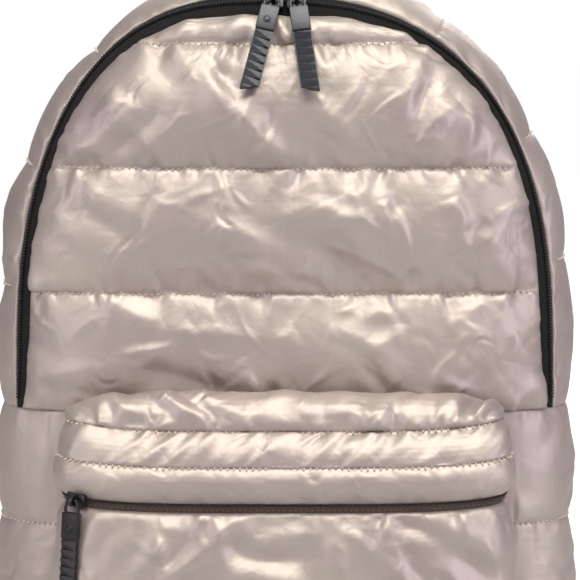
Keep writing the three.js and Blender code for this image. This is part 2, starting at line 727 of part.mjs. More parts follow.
function pocketFace() {
  const outward = (row) => STITCHED_OUT + POCKET_PUFF * fullness(row.height, FACE_LINES);
  return pocketPiece('pocket_face', POCKET_ROWS.face, FACE_ROWS, outward);
}

function pocketLip() {
  return pocketPiece('pocket_lip', POCKET_ROWS.lip, spaced(0, 1, 4), (row, v) => (
    STITCHED_OUT + LIP_PUFF * fullness(v, [0, 1])
  ));
}

function pocketBand() {
  return pocketPiece('pocket_band', POCKET_ROWS.band, spaced(0, 1, 4), (row, v) => (
    STITCHED_OUT + BAND_PUFF * fullness(v, [0, 1])
  ));
}

// The pocket's top: ribs from its seam on the body forwards to the stitched row, humped between.
function pocketTop() {
  const rim = pocketRow(POCKET_ROWS.band, 1);
  const surface = (degrees, v) => {
    const front = pocketPoint(degrees, { ...rim, height: rim.height + CREST_RIM });
    const seamClear = STITCHED_OUT + LINING_IN + CREST_CLEAR;
    const back = Math.min(0, faceY(front.x, POCKET_TOP, FRONT) - seamClear);
    const run = Math.max(0, back - front.y);
    const inwards = 1 - (Math.abs(front.x) / POCKET_HALF_WIDTH) ** CREST_POWER;
    const hump = CREST_RISE * inwards * Math.min(1, run / CREST_RUN) * Math.sin(Math.PI * v ** CREST_LEAN);
    const seam = Math.max(POCKET_TOP, front.z);
    return vector(front.x, lerp(front.y, Math.max(front.y, back), v), lerp(front.z, seam, v) + hump);
  };
  const outward = (degrees, v) => STITCHED_OUT + CREST_PUFF * fullness(v, [0, 1]);
  const angles = pocketAngles().slice(2, -2);
  const geometry = paddedSheet(angles, spaced(0, 1, 6), surface, outward, LINING_IN);
  return named('pocket_top', geometry, 'pearl');
}

// A point of the pocket's zipper, from its lower edge at share 0 to its upper edge at share 1.
function pocketTapePoint(degrees, share) {
  const rows = [POCKET_ROWS.face[4], POCKET_ROWS.lip[0]];
  return pocketPoint(degrees, pocketRow(rows, lerp(0.1, 0.9, share)));
}

function pocketTape() {
  const geometry = paddedSheet(pocketAngles(), [0, 1], pocketTapePoint, () => TAPE_OUT, TAPE_IN);
  return named('pocket_zip_tape', geometry, 'taupe');
}

function pocketCoil() {
  const angles = pocketAngles().slice(1, -1);
  const point = (degrees) => pocketTapePoint(degrees, 0.5);
  const stations = angles.map((degrees) => {
    const along = point(degrees + 0.1).sub(point(degrees - 0.1)).normalize();
    const normal = along.clone().cross(vector(0, 0, 1));
    const lift = POCKET_ZIP_LIFT + TAPE_OUT + GAP + COIL_HEIGHT / 2;
    const centre = point(degrees).addScaledVector(normal, lift);
    return { centre, side: vector(0, 0, -1), width: POCKET_COIL_WIDTH, thickness: COIL_HEIGHT };
  });
  return named('pocket_zip_coil', sweptStrip(stations, 4), 'coil');
}

// Slider: a channel over the coil with an eye for the pull. The coil runs along X, the outside is
// towards -Y and the origin is on the tape's stitched surface.
const COIL_TOP = TAPE_OUT + GAP + COIL_HEIGHT;
const PLATE_TOP = COIL_TOP + SLIDER_PLAY + SLIDER_PLATE;
const PIVOT_HEIGHT = PLATE_TOP + EYE_LIFT + EYE_HOLE + EYE_FLOOR;

function slider(name, width, coilWidth) {
  const foot = TAPE_OUT + GAP;
  const tall = PLATE_TOP - foot;
  const body = box(SLIDER_LENGTH, tall, width, 0, -(foot + tall / 2), 0);
  const channelTop = COIL_TOP + SLIDER_PLAY;
  const channelWidth = coilWidth + 2 * SLIDER_PLAY;
  const channel = box(SLIDER_LENGTH * 2, channelTop * 2, channelWidth, 0, 0, 0);
  const round = (radius, length) => solid(
    new THREE.CylinderGeometry(radius, radius, length, 16).rotateZ(Math.PI / 2).translate(0, -PIVOT_HEIGHT, 0),
  );
  const stemTall = PIVOT_HEIGHT - channelTop;
  const stem = box(EYE_THICKNESS, stemTall, EYE_RADIUS * 2, 0, -channelTop - stemTall / 2, 0);
  const eye = round(EYE_RADIUS, EYE_THICKNESS).add(stem);
  const above = box(SLIDER_LENGTH, PIVOT_HEIGHT * 2, width, 0, -channelTop - PIVOT_HEIGHT, 0);
  const shape = body.subtract(channel).add(eye.intersect(above)).subtract(round(EYE_HOLE, EYE_THICKNESS * 2));
  return named(name, fromSolid(shape), 'metal');
}

// Pull: a wire ring that hangs in the slider's eye, and a moulded tab folded round its lower bar.
// The origin is the hinge line in the middle of the ring's upper bar, and the pull hangs along -Z.
function ringOutline(inset) {
  const top = RING_BAR / 2 - inset;
  const bottom = RING_BAR / 2 - RING_LENGTH + inset;
  const waist = -RING_LENGTH * RING_WAIST;
  const topHalf = RING_TOP_WIDTH / 2 - inset * 0.8;
  const half = RING_WIDTH / 2 - inset;
  const bottomHalf = RING_WIDTH / 2 - RING_TAPER - inset;
  return [
    [-topHalf, top], [-half, waist], [-bottomHalf, bottom],
    [bottomHalf, bottom], [half, waist], [topHalf, top],
  ];
}

function pullRing(name) {
  const geometry = plate(ringOutline(0), RING_THICKNESS, [ringOutline(RING_BAR)]);
  return named(name, geometry, 'metal');
}

function pullTab(name, lowCorner, riveted) {
  const barMiddle = RING_BAR - RING_LENGTH;
  const hole = RING_BAR / 2 + GAP;
  const top = barMiddle + hole + (TAB_THICKNESS - 2 * hole) / 2 + TAB_CROWN;
  const tip = top - TAB_LENGTH;
  const neck = RING_WIDTH / 2 - RING_TAPER - RING_BAR - GAP;
  const shoulder = barMiddle - RING_BAR / 2 - GAP - TAB_DROP;
  const half = TAB_WIDTH / 2;
  const rightEnd = tip + (lowCorner > 0 ? 0 : TAB_SLANT);
  const leftEnd = tip + (lowCorner > 0 ? TAB_SLANT : 0);
  const outline = plate([
    [-neck, top], [-neck, shoulder], [-half, shoulder - TAB_SHOULDER], [-half, leftEnd],
    [half, rightEnd], [half, shoulder - TAB_SHOULDER], [neck, shoulder], [neck, top],
  ], TAB_THICKNESS * 2);

  // Side view of the tab: flat over the fold, then a groove and rows of teeth on both faces
  const face = TAB_THICKNESS / 2;
  const grooveTop = top - TAB_FOLD;
  const edge = [[-face, top], [-face, grooveTop]];
  for (let z = grooveTop - GROOVE; z > tip + GROOVE / 2; z -= TOOTH_PITCH) {
    edge.push([-(face - TOOTH_DEPTH), z], [-face, z - TOOTH_PITCH * TOOTH_CREST]);
  }
  edge.push([-(face - TOOTH_DEPTH), tip - GROOVE]);
  const mirrored = edge.map(([y, z]) => [-y, z]).reverse();
  const side = plate([...edge, ...mirrored], TAB_WIDTH * 2).rotateZ(Math.PI / 2);

  let shape = solid(outline).intersect(solid(side));
  shape = shape.subtract(box(TAB_WIDTH * 2, 2 * hole, 2 * hole, 0, 0, barMiddle));
  if (riveted) {
    const rivet = new THREE.CylinderGeometry(RIVET_RADIUS, RIVET_RADIUS, 2 * RIVET_HEIGHT, 12);
    shape = shape.add(solid(rivet.translate(0, -face, top - TAB_FOLD * RIVET_PLACE)));
  }
  return named(name, fromSolid(shape), 'tab');
}

// The smallest swing out from straight down at which a pull clears the padding behind it.
// The frame has its X along the hinge line and its Z up, with the hinge line at its origin.
function clearSwing(frame, lean, padding) {
  const toFrame = frame.clone().invert();
  let swing = 0;
  for (const panel of padding) {
    const points = panel.geometry.attributes.position;
    for (let index = 0; index < points.count; index += 1) {
      const point = new THREE.Vector3().fromBufferAttribute(points, index).applyMatrix4(toFrame);
      const away = Math.hypot(point.y, point.z);
      const thickness = away < RING_LENGTH - RING_BAR * 2 ? RING_THICKNESS : TAB_THICKNESS;
      const half = thickness / 2 + TAB_CLEARANCE;
      const across = Math.abs(point.x - point.z * Math.tan(lean));
      const beside = across > TAB_WIDTH * 1.5 || away > RING_LENGTH + TAB_LENGTH;
      if (beside || point.z > -1 || away < half) continue;
      swing = Math.max(swing, Math.atan2(-point.y, -point.z) + Math.asin(half / away));
    }
  }
  return swing;
}

// A slider on its zipper and the pull that hangs from its eye. tilt turns the slider's face up,
// turn is its heading about the vertical, roll is the zipper's slope under it, and lean is the
// pull's slant in its own plane.
function sliderAndPull(name, seat, tilt, turn, roll, pull, padding) {
  const holder = new THREE.Group();
  holder.position.copy(seat);
  holder.rotation.z = turn;
  const onZip = new THREE.Group();
  onZip.rotation.set(-tilt, roll, 0);
  onZip.add(slider(`slider_${name}`, pull.sliderWidth, pull.coilWidth));
  const hinge = new THREE.Group();
  hinge.position.set(0, -Math.cos(tilt) * PIVOT_HEIGHT, Math.sin(tilt) * PIVOT_HEIGHT);
  const hanging = new THREE.Group();
  hanging.rotation.y = THREE.MathUtils.degToRad(pull.lean);
  hanging.add(pullRing(`pull_ring_${name}`), pullTab(`pull_tab_${name}`, pull.lowCorner, pull.riveted));
  hinge.add(hanging);
  holder.add(onZip, hinge);
  holder.updateMatrixWorld(true);
  hinge.rotation.x = -clearSwing(hinge.matrixWorld, hanging.rotation.y, padding);
  return holder;
}

const MAIN_PULLS = [
  { name: 'left', x: -6.2, lean: 12, lowCorner: -1, riveted: true },
  { name: 'right', x: 6.6, lean: -6, lowCorner: 1, riveted: false },
];

function mainPulls(padding) {
  const group = new THREE.Group();
  for (const pull of MAIN_PULLS) {
    const share = 0.5 + pull.x / ARCH.getLength();
    const normal = archNormal(share);
    const tilt = Math.atan2(normal.z, -normal.y);
    const sizes = { ...pull, sliderWidth: SLIDER_WIDTH, coilWidth: COIL_WIDTH };
    group.add(sliderAndPull(pull.name, coilPoint(share), tilt, 0, 0, sizes, padding));
  }
  return group;
}

function pocketPull(padding) {
  const half = pocketTapePoint(0, 0.5).x;
  const angle = Math.acos((POCKET_SLIDER_OUT / Math.abs(half)) ** (POCKET_POWER / 2));
  const degrees = THREE.MathUtils.radToDeg(angle);
  const along = pocketTapePoint(degrees + 0.5, 0.5).sub(pocketTapePoint(degrees - 0.5, 0.5));
  const turn = Math.atan2(along.y, along.x);
  const roll = -Math.atan2(along.z, Math.hypot(along.x, along.y));
  const sizes = { lean: 2, lowCorner: -1, riveted: true };
  Object.assign(sizes, { sliderWidth: POCKET_SLIDER_WIDTH, coilWidth: POCKET_COIL_WIDTH });
  const outwards = vector(Math.sin(turn), -Math.cos(turn), 0);
  const seat = pocketTapePoint(degrees, 0.5).addScaledVector(outwards, POCKET_ZIP_LIFT);
  return sliderAndPull('pocket', seat, 0, turn, roll, sizes, padding);
}

// Haul loop

function haulLoop() {
  const half = LOOP_SPAN / 2;
  const foot = BODY_HEIGHT - LOOP_BELOW;
  const footTop = foot + LOOP_SEWN;
  const crown = BODY_HEIGHT + LOOP_ABOVE - LOOP_WIDTH / 3;
  const stations = [];
  const add = (x, z, out, width, thickness) => {
    const side = vector(1, 0, 0);
    stations.push({ x, z, out, side, width, thickness });
  };
  add(-half, foot, 0, LOOP_WIDTH, LOOP_THICKNESS);
  add(-half, footTop, 0, LOOP_WIDTH, LOOP_THICKNESS);
  for (const degrees of spaced(170, 10, 10)) {
    const angle = THREE.MathUtils.degToRad(degrees);
    const lift = Math.sin(angle);
    const x = half * Math.cos(angle) * 1.02;
    const z = lerp(footTop + 2, crown, lift);
    const width = lerp(LOOP_WIDTH, LOOP_GRIP_WIDTH, lift);
    add(x, z, LOOP_LEAN * lift, width, lerp(LOOP_THICKNESS, LOOP_GRIP_THICKNESS, lift));
  }
  add(half, footTop, 0, LOOP_WIDTH, LOOP_THICKNESS);
  add(half, foot, 0, LOOP_WIDTH, LOOP_THICKNESS);
  const rest = backOutside(half - LOOP_WIDTH / 2, foot) + GAP + LOOP_THICKNESS / 2;
  stations.forEach((station, place) => {
    const before = stations[Math.max(0, place - 1)];
    const after = stations[Math.min(stations.length - 1, place + 1)];
    station.centre = vector(station.x, rest + station.out, station.z);
    station.side = vector(after.z - before.z, 0, before.x - after.x).normalize();
  });
  return named('haul_loop', sweptStrip(stations, 8), 'webbing');
}

// Shoulder straps

function strapCentre(side, row) {
  const z = lerp(STRAP_TOP, STRAP_END, row.drop);
  const x = side * lerp(STRAP_TOP_SPREAD, STRAP_END_SPREAD, row.out);
  const seat = GAP + STRAP_THICKNESS * row.thickness / 2;
  const y = backOutside(Math.abs(x), z) + seat + row.off * STRAP_STAND_OFF;
  return vector(x, y, z);
}

function shoulderStrap(side) {
  const centres = STRAP_COURSE.map((row) => strapCentre(side, row));
  const curve = new THREE.CatmullRomCurve3(centres, false, 'centripetal');
  const steps = 3 * (STRAP_COURSE.length - 1);
  const stations = spaced(0, 1, steps).map((share) => {
    const reach = share * (STRAP_COURSE.length - 1);
    const place = Math.min(STRAP_COURSE.length - 2, Math.floor(reach));
    const mix = (key) => lerp(STRAP_COURSE[place][key], STRAP_COURSE[place + 1][key], reach - place);
    return {
      centre: curve.getPoint(share),
      side: vector(1, 0, 0),
      width: STRAP_WIDTH * mix('width'),
      thickness: STRAP_THICKNESS * mix('thickness'),
    };
  });
  return named(`strap_${side < 0 ? 'left' : 'right'}`, sweptStrip(stations, 10), 'pearl');
}

// The adjuster at a strap's end: a frame with a slot for the strap and one for the webbing.
function lockPlace(side) {
  const end = strapCentre(side, STRAP_COURSE[STRAP_COURSE.length - 1]);
  return vector(end.x, end.y, end.z - LOCK_GAP - LOCK_LENGTH / 2);
}

function ladderLock(side) {
  const half = LOCK_WIDTH / 2;
  const long = LOCK_LENGTH / 2;
  const slotHalf = WEBBING_WIDTH / 2 + SLOT_PLAY;
  const corner = LOCK_CORNER;
  const outline = [
    [-half + corner, -long], [half - corner, -long], [half, -long + corner], [half, long - corner],
    [half - corner, long], [-half + corner, long], [-half, long - corner], [-half, -long + corner],
  ];
  const high = long - LOCK_BAR - LOCK_BAR / 2;
  const slot = (middle) => box(2 * slotHalf, LOCK_THICKNESS * 2, high, 0, 0, middle);
  const frame = solid(plate(outline, LOCK_THICKNESS));
  const slotMiddle = LOCK_BAR / 2 + high / 2;
  const geometry = fromSolid(frame.subtract(slot(slotMiddle)).subtract(slot(-slotMiddle)));
  const piece = named(`ladder_lock_${side < 0 ? 'left' : 'right'}`, geometry, 'plastic');
  piece.position.copy(lockPlace(side));
  return piece;
}

// The webbing: sewn at the bag's lower corner, up behind the lock's lower bar, round it and down.
function webbing(side) {
  const lock = lockPlace(side);
  const barZ = lock.z - LOCK_LENGTH / 2 + LOCK_BAR / 2;
  const bend = GAP * 2 + WEBBING_THICKNESS / 2;
  const away = LOCK_THICKNESS / 2 + bend;
  const anchorX = side * WEBBING_ANCHOR_SPREAD;
  const inner = WEBBING_ANCHOR_SPREAD - WEBBING_WIDTH / 2;
  const anchorY = backOutside(inner, WEBBING_ANCHOR_HEIGHT) + GAP + WEBBING_THICKNESS / 2;
  const middle = vector(anchorX, anchorY, WEBBING_ANCHOR_HEIGHT).lerp(vector(lock.x, lock.y - away, barZ), 0.5);
  const roundBar = [];
  for (const [place, first] of [[-1, 180], [1, 90]]) {
    for (const degrees of [first, first - 45, first - 90]) {
      const angle = THREE.MathUtils.degToRad(degrees);
      const y = lock.y + place * LOCK_THICKNESS / 2 + bend * Math.cos(angle);
      roundBar.push(vector(lock.x, y, barZ + LOCK_BAR / 2 + bend * Math.sin(angle)));
    }
  }
  const points = [
    vector(anchorX, anchorY, WEBBING_ANCHOR_HEIGHT - WEBBING_SEWN),
    vector(anchorX, anchorY, WEBBING_ANCHOR_HEIGHT),
    middle,
    vector(lock.x, lock.y - away, barZ - WEBBING_SEWN),
    ...roundBar,
    vector(lock.x, lock.y + away, barZ - WEBBING_SEWN),
    vector(lock.x, lock.y + away + WEBBING_LEAN, barZ - WEBBING_TAIL * 0.6),
    vector(lock.x, lock.y + away + WEBBING_LEAN * 0.7, barZ - WEBBING_TAIL),
  ];
  const stations = points.map((centre) => ({
    centre, side: vector(1, 0, 0), width: WEBBING_WIDTH, thickness: WEBBING_THICKNESS,
  }));
  return named(`webbing_${side < 0 ? 'left' : 'right'}`, sweptStrip(stations, 4), 'webbing');
}

const backpack = new THREE.Group();
const panel = frontPanel();
const face = pocketFace();
backpack.add(panel, upperGusset(), lowerBody(), backPanel(), bottomPanel());
backpack.add(mainTape(), mainCoil(), mainPulls([panel]));
backpack.add(face, pocketLip(), pocketBand(), pocketTop());
backpack.add(pocketTape(), pocketCoil(), pocketPull([face]));
backpack.add(haulLoop());
for (const side of [-1, 1]) {
  backpack.add(shoulderStrap(side), ladderLock(side), webbing(side));
}

export default backpack;
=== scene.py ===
"""The looks of the quilted puffer backpack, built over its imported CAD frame.

Sizes are millimetres in the classes and become metres when a mesh is made. X runs to the right,
Y to the back and Z up, as in the frame. Every panel is a padded sheet over the body's stitched
surface: it is held along its seams, blown up by a short cloth simulation and then creased.
"""

import json
import logging
import math
from dataclasses import dataclass, field
from enum import Enum
from typing import Callable, Optional, Sequence

import bmesh
import bpy
import numpy as np
from mathutils import Matrix, Vector

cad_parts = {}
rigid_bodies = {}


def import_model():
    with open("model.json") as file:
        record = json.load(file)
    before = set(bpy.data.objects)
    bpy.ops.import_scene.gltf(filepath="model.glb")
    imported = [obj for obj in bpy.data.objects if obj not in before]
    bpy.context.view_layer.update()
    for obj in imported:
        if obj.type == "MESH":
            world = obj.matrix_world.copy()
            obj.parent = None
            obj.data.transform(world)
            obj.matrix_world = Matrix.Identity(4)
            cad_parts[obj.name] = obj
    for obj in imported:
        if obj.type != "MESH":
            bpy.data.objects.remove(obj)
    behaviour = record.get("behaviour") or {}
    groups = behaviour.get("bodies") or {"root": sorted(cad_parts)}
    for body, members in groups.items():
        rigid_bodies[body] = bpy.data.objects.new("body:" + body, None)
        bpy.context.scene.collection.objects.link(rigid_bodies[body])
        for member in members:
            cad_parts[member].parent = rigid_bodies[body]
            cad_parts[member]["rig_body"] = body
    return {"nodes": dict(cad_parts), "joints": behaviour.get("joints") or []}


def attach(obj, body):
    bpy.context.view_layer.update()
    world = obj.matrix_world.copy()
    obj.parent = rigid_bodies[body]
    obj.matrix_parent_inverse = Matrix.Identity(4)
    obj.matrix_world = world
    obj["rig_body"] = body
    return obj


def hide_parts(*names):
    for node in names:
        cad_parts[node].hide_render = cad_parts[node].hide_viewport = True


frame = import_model()

logging.basicConfig(level=logging.INFO, format="%(message)s")
LOG = logging.getLogger("backpack")

MM = 0.001
SEAM_DEPTH = 0.3
LINING = 1.6
Array = np.ndarray


class Face(Enum):
    """The two broad faces of the body."""

    FRONT = -1
    BACK = 1


class Edge(Enum):
    """The edges of the main zipper that a surface can follow."""

    OUTER = "outer"
    INNER = "inner"
    PANEL = "panel"


class Fold(Enum):
    """How a fold's cross section is shaped."""

    RIDGE = "ridge"
    CREASE = "crease"
    SHELF = "shelf"


@dataclass(frozen=True)
class BodyForm:
    """The stitched outer form of the bag's body."""

    height: float = 415.3
    width: float = 286.6
    flare: float = 4.0
    spring: float = 245.0
    straight: float = 0.12
    arch_power: float = 2.1
    front_depth: float = 70.0
    front_power: float = 4.0
    back_depth: float = 66.0
    back_power: float = 6.0
    bottom_radius: float = 24.0
    middle_seam: float = 195.9
    bottom_seam: float = 3.0
    back_seam: float = 0.955

    def corner_inset(self, z: Array) -> Array:
        """How far the walls have turned in towards the bottom at a height."""
        drop = np.clip(self.bottom_radius - z, 0, self.bottom_radius)
        return self.bottom_radius - np.sqrt(self.bottom_radius**2 - drop**2)

    def half_width(self, z: Array) -> Array:
        """Half the body's width at a height."""
        below = np.maximum(0, 1 - z / self.spring)
        return self.width / 2 + self.flare * below - self.corner_inset(z)

    def face_y(self, x: Array, z: Array, face: Face) -> Array:
        """Depth of the stitched surface of one broad face.

        Args:
            x: Distance from the middle.
            z: Height.
            face: Front or back.

        Returns:
            The Y of the surface, negative on the front.
        """
        depth = self.front_depth if face is Face.FRONT else self.back_depth
        power = self.front_power if face is Face.FRONT else self.back_power
        across = np.abs(x) / self.half_width(z)
        up = np.maximum(0, z - self.spring) / (self.height - self.spring)
        arched = (across**self.arch_power + up**self.arch_power) ** (1 / self.arch_power)
        spread = np.where(z <= self.spring, across, arched)
        room = np.maximum(0, 1 - spread**power)
        return face.value * (depth - self.corner_inset(z)) * room ** (1 / power)

    def arch_outline(self, share: Array) -> tuple[Array, Array]:
        """X and Z of the arch's silhouette at shares of its length, left to right."""
        t = np.linspace(0, 1, 4001)
        side = np.where(t < 0.5, -1.0, 1.0)
        climb = np.minimum(t, 1 - t)
        low = self.middle_seam + 0.05
        straight_z = low + (self.spring - low) * climb / self.straight
        angle = (math.pi / 2) * np.clip((climb - self.straight) / (0.5 - self.straight), 0, 1)
        power = 2 / self.arch_power
        arch_x = self.width / 2 * np.maximum(0, np.cos(angle)) ** power
        arch_z = self.spring + (self.height - self.spring) * np.sin(angle) ** power
        lower = climb < self.straight
        x = side * np.where(lower, self.half_width(straight_z), arch_x)
        z = np.where(lower, straight_z, arch_z)
        length = np.concatenate([[0], np.cumsum(np.hypot(np.diff(x), np.diff(z)))])
        length /= length[-1]
        return np.interp(share, length, x), np.interp(share, length, z)

    def arch_point(self, share: Array, y: Array) -> Array:
        """Points of the arch's stitched surface at shares of its length and depths y."""
        out_x, out_z = self.arch_outline(share)
        hub = np.minimum(out_z, self.spring)
        depth = np.where(y < 0, self.front_depth, self.back_depth)
        power = np.where(y < 0, self.front_power, self.back_power)
        spread = np.maximum(0, 1 - (np.abs(y) / depth) ** power) ** (1 / power)
        return np.stack([out_x * spread, y + 0 * out_x, hub + (out_z - hub) * spread], -1)

    def plan_point(self, degrees: Array, z: Array) -> Array:
        """Points of the lower wall: 0 is the left side, 90 the front's middle, 180 the right."""
        angle = np.radians(degrees)
        front = np.sin(angle) >= 0
        power = 2 / np.where(front, self.front_power, self.back_power)
        depth = np.where(front, self.front_depth, self.back_depth) - self.corner_inset(z)
        side = np.where(front, -1.0, 1.0)
        x = -np.sign(np.cos(angle)) * self.half_width(z) * np.abs(np.cos(angle)) ** power
        return np.stack([x, side * depth * np.abs(np.sin(angle)) ** power, z + 0 * x], -1)


@dataclass(frozen=True)
class ZipForm:
    """The arch of the main zipper on the body's front."""

    body: BodyForm
    half: float = 135.0
    spring: float = 215.0
    crown: float = 402.0
    outer_power: float = 2.5
    inner_power: float = 2.7
    side_shows: float = 6.2
    crown_shows: float = 8.6
    end_shows: float = 1.8
    skew: float = 8.0
    skew_power: float = 6.0
    closing: float = 40.0
    seam_gap: float = 0.8

    def edge(self, z: Array, edge: Edge) -> tuple[Array, float, float]:
        """Half width, climb and power of one edge's arch, for points at a height."""
        shown = 0.0 if edge is Edge.OUTER else 1.0
        clear = self.seam_gap if edge is Edge.PANEL else 0.0
        closing = np.clip((z - self.body.middle_seam) / self.closing, 0, 1)
        shows = shown * (self.end_shows + (self.side_shows - self.end_shows) * np.sqrt(closing))
        climb = self.crown - shown * self.crown_shows - clear - self.spring
        power = self.outer_power if edge is Edge.OUTER else self.inner_power
        return self.half - shows - clear, climb, power

    def middle(self, z: Array) -> Array:
        """X of the arch's middle line, which leans left near its crown."""
        up = np.clip((z - self.spring) / (self.crown - self.spring), 0, 1)
        return -self.skew * up**self.skew_power

    def half_width(self, z: Array, edge: Edge) -> Array:
        """Half the width between an edge's two sides at a height."""
        width, climb, power = self.edge(z, edge)
        up = np.clip((z - self.spring) / climb, 0, 1)
        return width * np.maximum(0, 1 - up**power) ** (1 / power)

    def height(self, x: float, edge: Edge) -> float:
        """Height of an edge at a distance from the middle."""
        width, climb, power = self.edge(np.array(self.crown), edge)
        return float(self.spring + climb * (1 - (x / width) ** power) ** (1 / power))

    def depth(self, share: Array, edge: Edge) -> Array:
        """The depth at which ribs of the arch cross an edge."""
        out_x, out_z = self.body.arch_outline(share)
        hub = np.minimum(out_z, self.body.spring)
        low, high = np.full_like(out_x, 0.5), np.ones_like(out_x)
        for _ in range(40):
            half = (low + high) / 2
            x, z = out_x * half, hub + (out_z - hub) * half
            width, climb, power = self.edge(z, edge)
            up = np.maximum(0, z - self.spring) / climb
            outside = (np.abs(x - self.middle(z)) / width) ** power + up**power > 1
            high, low = np.where(outside, half, high), np.where(outside, low, half)
        power = self.body.front_power
        return -self.body.front_depth * (1 - low**power) ** (1 / power)


BODY = BodyForm()
ZIP = ZipForm(BODY)


@dataclass(frozen=True)
class Crease:
    """One fold, from (u0, v0) to (u1, v1) in the sheet's own millimetres."""

    kind: Fold
    u0: float
    v0: float
    u1: float
    v1: float
    height: float
    width: float
    bow: float = 0.0

    def relief(self, u: Array, v: Array) -> Array:
        """How far the fold lifts the fabric at each point.

        Args:
            u: Distance along the sheet.
            v: Distance across the sheet.

        Returns:
            The lift, negative in a dent.
        """
        du, dv = self.u1 - self.u0, self.v1 - self.v0
        length = math.hypot(du, dv)
        along = ((u - self.u0) * du + (v - self.v0) * dv) / length**2
        off = ((v - self.v0) * du - (u - self.u0) * dv) / length
        off = off - self.bow * np.sin(math.pi * np.clip(along, 0, 1))
        over = np.maximum(0, np.maximum(-along, along - 1)) * length
        taper = np.sin(math.pi * np.clip(along, 0.04, 0.96)) ** 0.6 * np.exp(-((over / self.width) ** 2))
        reach = np.abs(off) / self.width
        if self.kind is Fold.RIDGE:
            section = np.exp(-(reach**1.8))
        elif self.kind is Fold.CREASE:
            section = -np.exp(-(reach**1.6)) + 0.4 * np.exp(-((reach - 1.8) ** 2))
        else:
            steep, gentle = np.exp(-((reach * 1.35) ** 1.8)), np.exp(-(reach**1.6) * 0.4)
            section = np.where(off > 0, steep, gentle)
        return self.height * taper * section


def smooth_noise(u: Array, v: Array, seed: int, pitch: float) -> Array:
    """Smooth random relief from -1 to 1 whose bumps are about a pitch apart."""
    rng = np.random.default_rng(seed)
    total = np.zeros_like(u)
    for _ in range(10):
        turn, phase = rng.uniform(0, 2 * math.pi, 2)
        wave = 2 * math.pi / (pitch * rng.uniform(0.7, 1.8))
        total += np.sin((u * math.cos(turn) + v * math.sin(turn)) * wave + phase)
    return total / 4.5


def gathers(along: Array, away: Array, length: float, seed: int, strength: float, reach: float) -> Array:
    """Puckers that run away from a stitched line, closely and unevenly spaced.

    Args:
        along: Distance along the seam at each point.
        away: Distance from the seam at each point, never negative.
        length: The seam's length.
        seed: Seed of the uneven spacing.
        strength: Height of a usual pucker.
        reach: How far a usual pucker runs.

    Returns:
        The lift at each point.
    """
    rng = np.random.default_rng(seed)
    total = np.zeros_like(along)
    place = rng.uniform(0, 6)
    while place < length:
        width = rng.uniform(1.3, 3.0)
        run = reach * rng.uniform(0.35, 1.5)
        if rng.random() < 0.24:
            run, width = run * 2.6, width * 1.4
        lean = rng.uniform(-0.45, 0.45)
        lift = strength * rng.uniform(0.25, 1.25) * rng.choice([1.0, 1.0, -0.8])
        off = (along - place - lean * away) / (width * (1 + away / run))
        total += lift * np.exp(-(off**2)) * np.exp(-((away / run) ** 1.5)) * np.minimum(1, away / 1.2 + 0.15)
        place += width * rng.uniform(1.3, 3.6)
    return total


def crumples(u: Array, v: Array, seed: int, count: int, strength: float, fineness: float = 1.0) -> Array:
    """Small folds of many sizes and directions, as thin coated cloth keeps them.

    Args:
        u: Distance along the sheet.
        v: Distance across the sheet.
        seed: Seed of the folds' places.
        count: How many folds.
        strength: Height of a usual fold.
        fineness: Size of the folds, 1 for broad ones and less for thin creases.

    Returns:
        The lift at each point.
    """
    rng = np.random.default_rng(seed)
    total = np.zeros_like(u)
    for _ in range(count):
        middle_u, middle_v = rng.uniform(u.min(), u.max()), rng.uniform(v.min(), v.max())
        turn = rng.choice([-1.0, 1.0]) * rng.uniform(0.15, 1.25)
        length = rng.uniform(5, 15) * rng.choice([1.0, 1.0, 1.6]) * fineness**0.4
        du, dv = length * math.cos(turn), length * math.sin(turn)
        kind = (Fold.RIDGE, Fold.CREASE, Fold.SHELF)[rng.integers(3)]
        height = strength * rng.uniform(0.4, 1.3)
        fold = Crease(
            kind, middle_u - du, middle_v - dv, middle_u + du, middle_v + dv, height,
            rng.uniform(2.4, 6.0) * fineness, rng.uniform(-3.5, 3.5),
        )
        total += fold.relief(u, v)
    return total


def unit(vectors: Array) -> Array:
    """The vectors at a length of one."""
    return vectors / np.maximum(1e-12, np.linalg.norm(vectors, axis=-1, keepdims=True))


def grid_normals(points: Array) -> Array:
    """Outward unit normals of a grid of points, rows by columns."""
    along = np.gradient(points, axis=1)
    across = np.gradient(points, axis=0)
    return unit(np.cross(along, across))


def twice_as_fine(grid: Array) -> Array:
    """A grid with a cubic midpoint between all its neighbours, along rows and columns."""
    for axis in (0, 1):
        grid = np.moveaxis(grid, axis, 0)
        before = np.concatenate([2 * grid[:1] - grid[1:2], grid[:-1]])[: len(grid) - 1]
        after = np.concatenate([grid[2:], 2 * grid[-1:] - grid[-2:-1]])
        middle = (9 * (grid[:-1] + grid[1:]) - before - after) / 16
        fine = np.empty((2 * len(grid) - 1, *grid.shape[1:]))
        fine[0::2], fine[1::2] = grid, middle
        grid = np.moveaxis(fine, 0, axis)
    return grid


def quads(rows: int, columns: int, start: int = 0) -> Array:
    """Vertex numbers of a grid's faces."""
    numbers = start + np.arange(rows * columns).reshape(rows, columns)
    corners = (numbers[:-1, :-1], numbers[:-1, 1:], numbers[1:, 1:], numbers[1:, :-1])
    return np.stack(corners, -1).reshape(-1, 4)


def new_object(name: str, points: Array, faces: Sequence[Sequence[int]]) -> bpy.types.Object:
    """A mesh object from points in millimetres.

    Args:
        name: The object's name.
        points: One row of X, Y and Z for each vertex.
        faces: Vertex numbers of each face.

    Returns:
        The linked object.
    """
    mesh = bpy.data.meshes.new(name)
    mesh.from_pydata((np.asarray(points) * MM).tolist(), [], [list(map(int, face)) for face in faces])
    mesh.update()
    made = bpy.data.objects.new(name, mesh)
    bpy.context.scene.collection.objects.link(made)
    return made


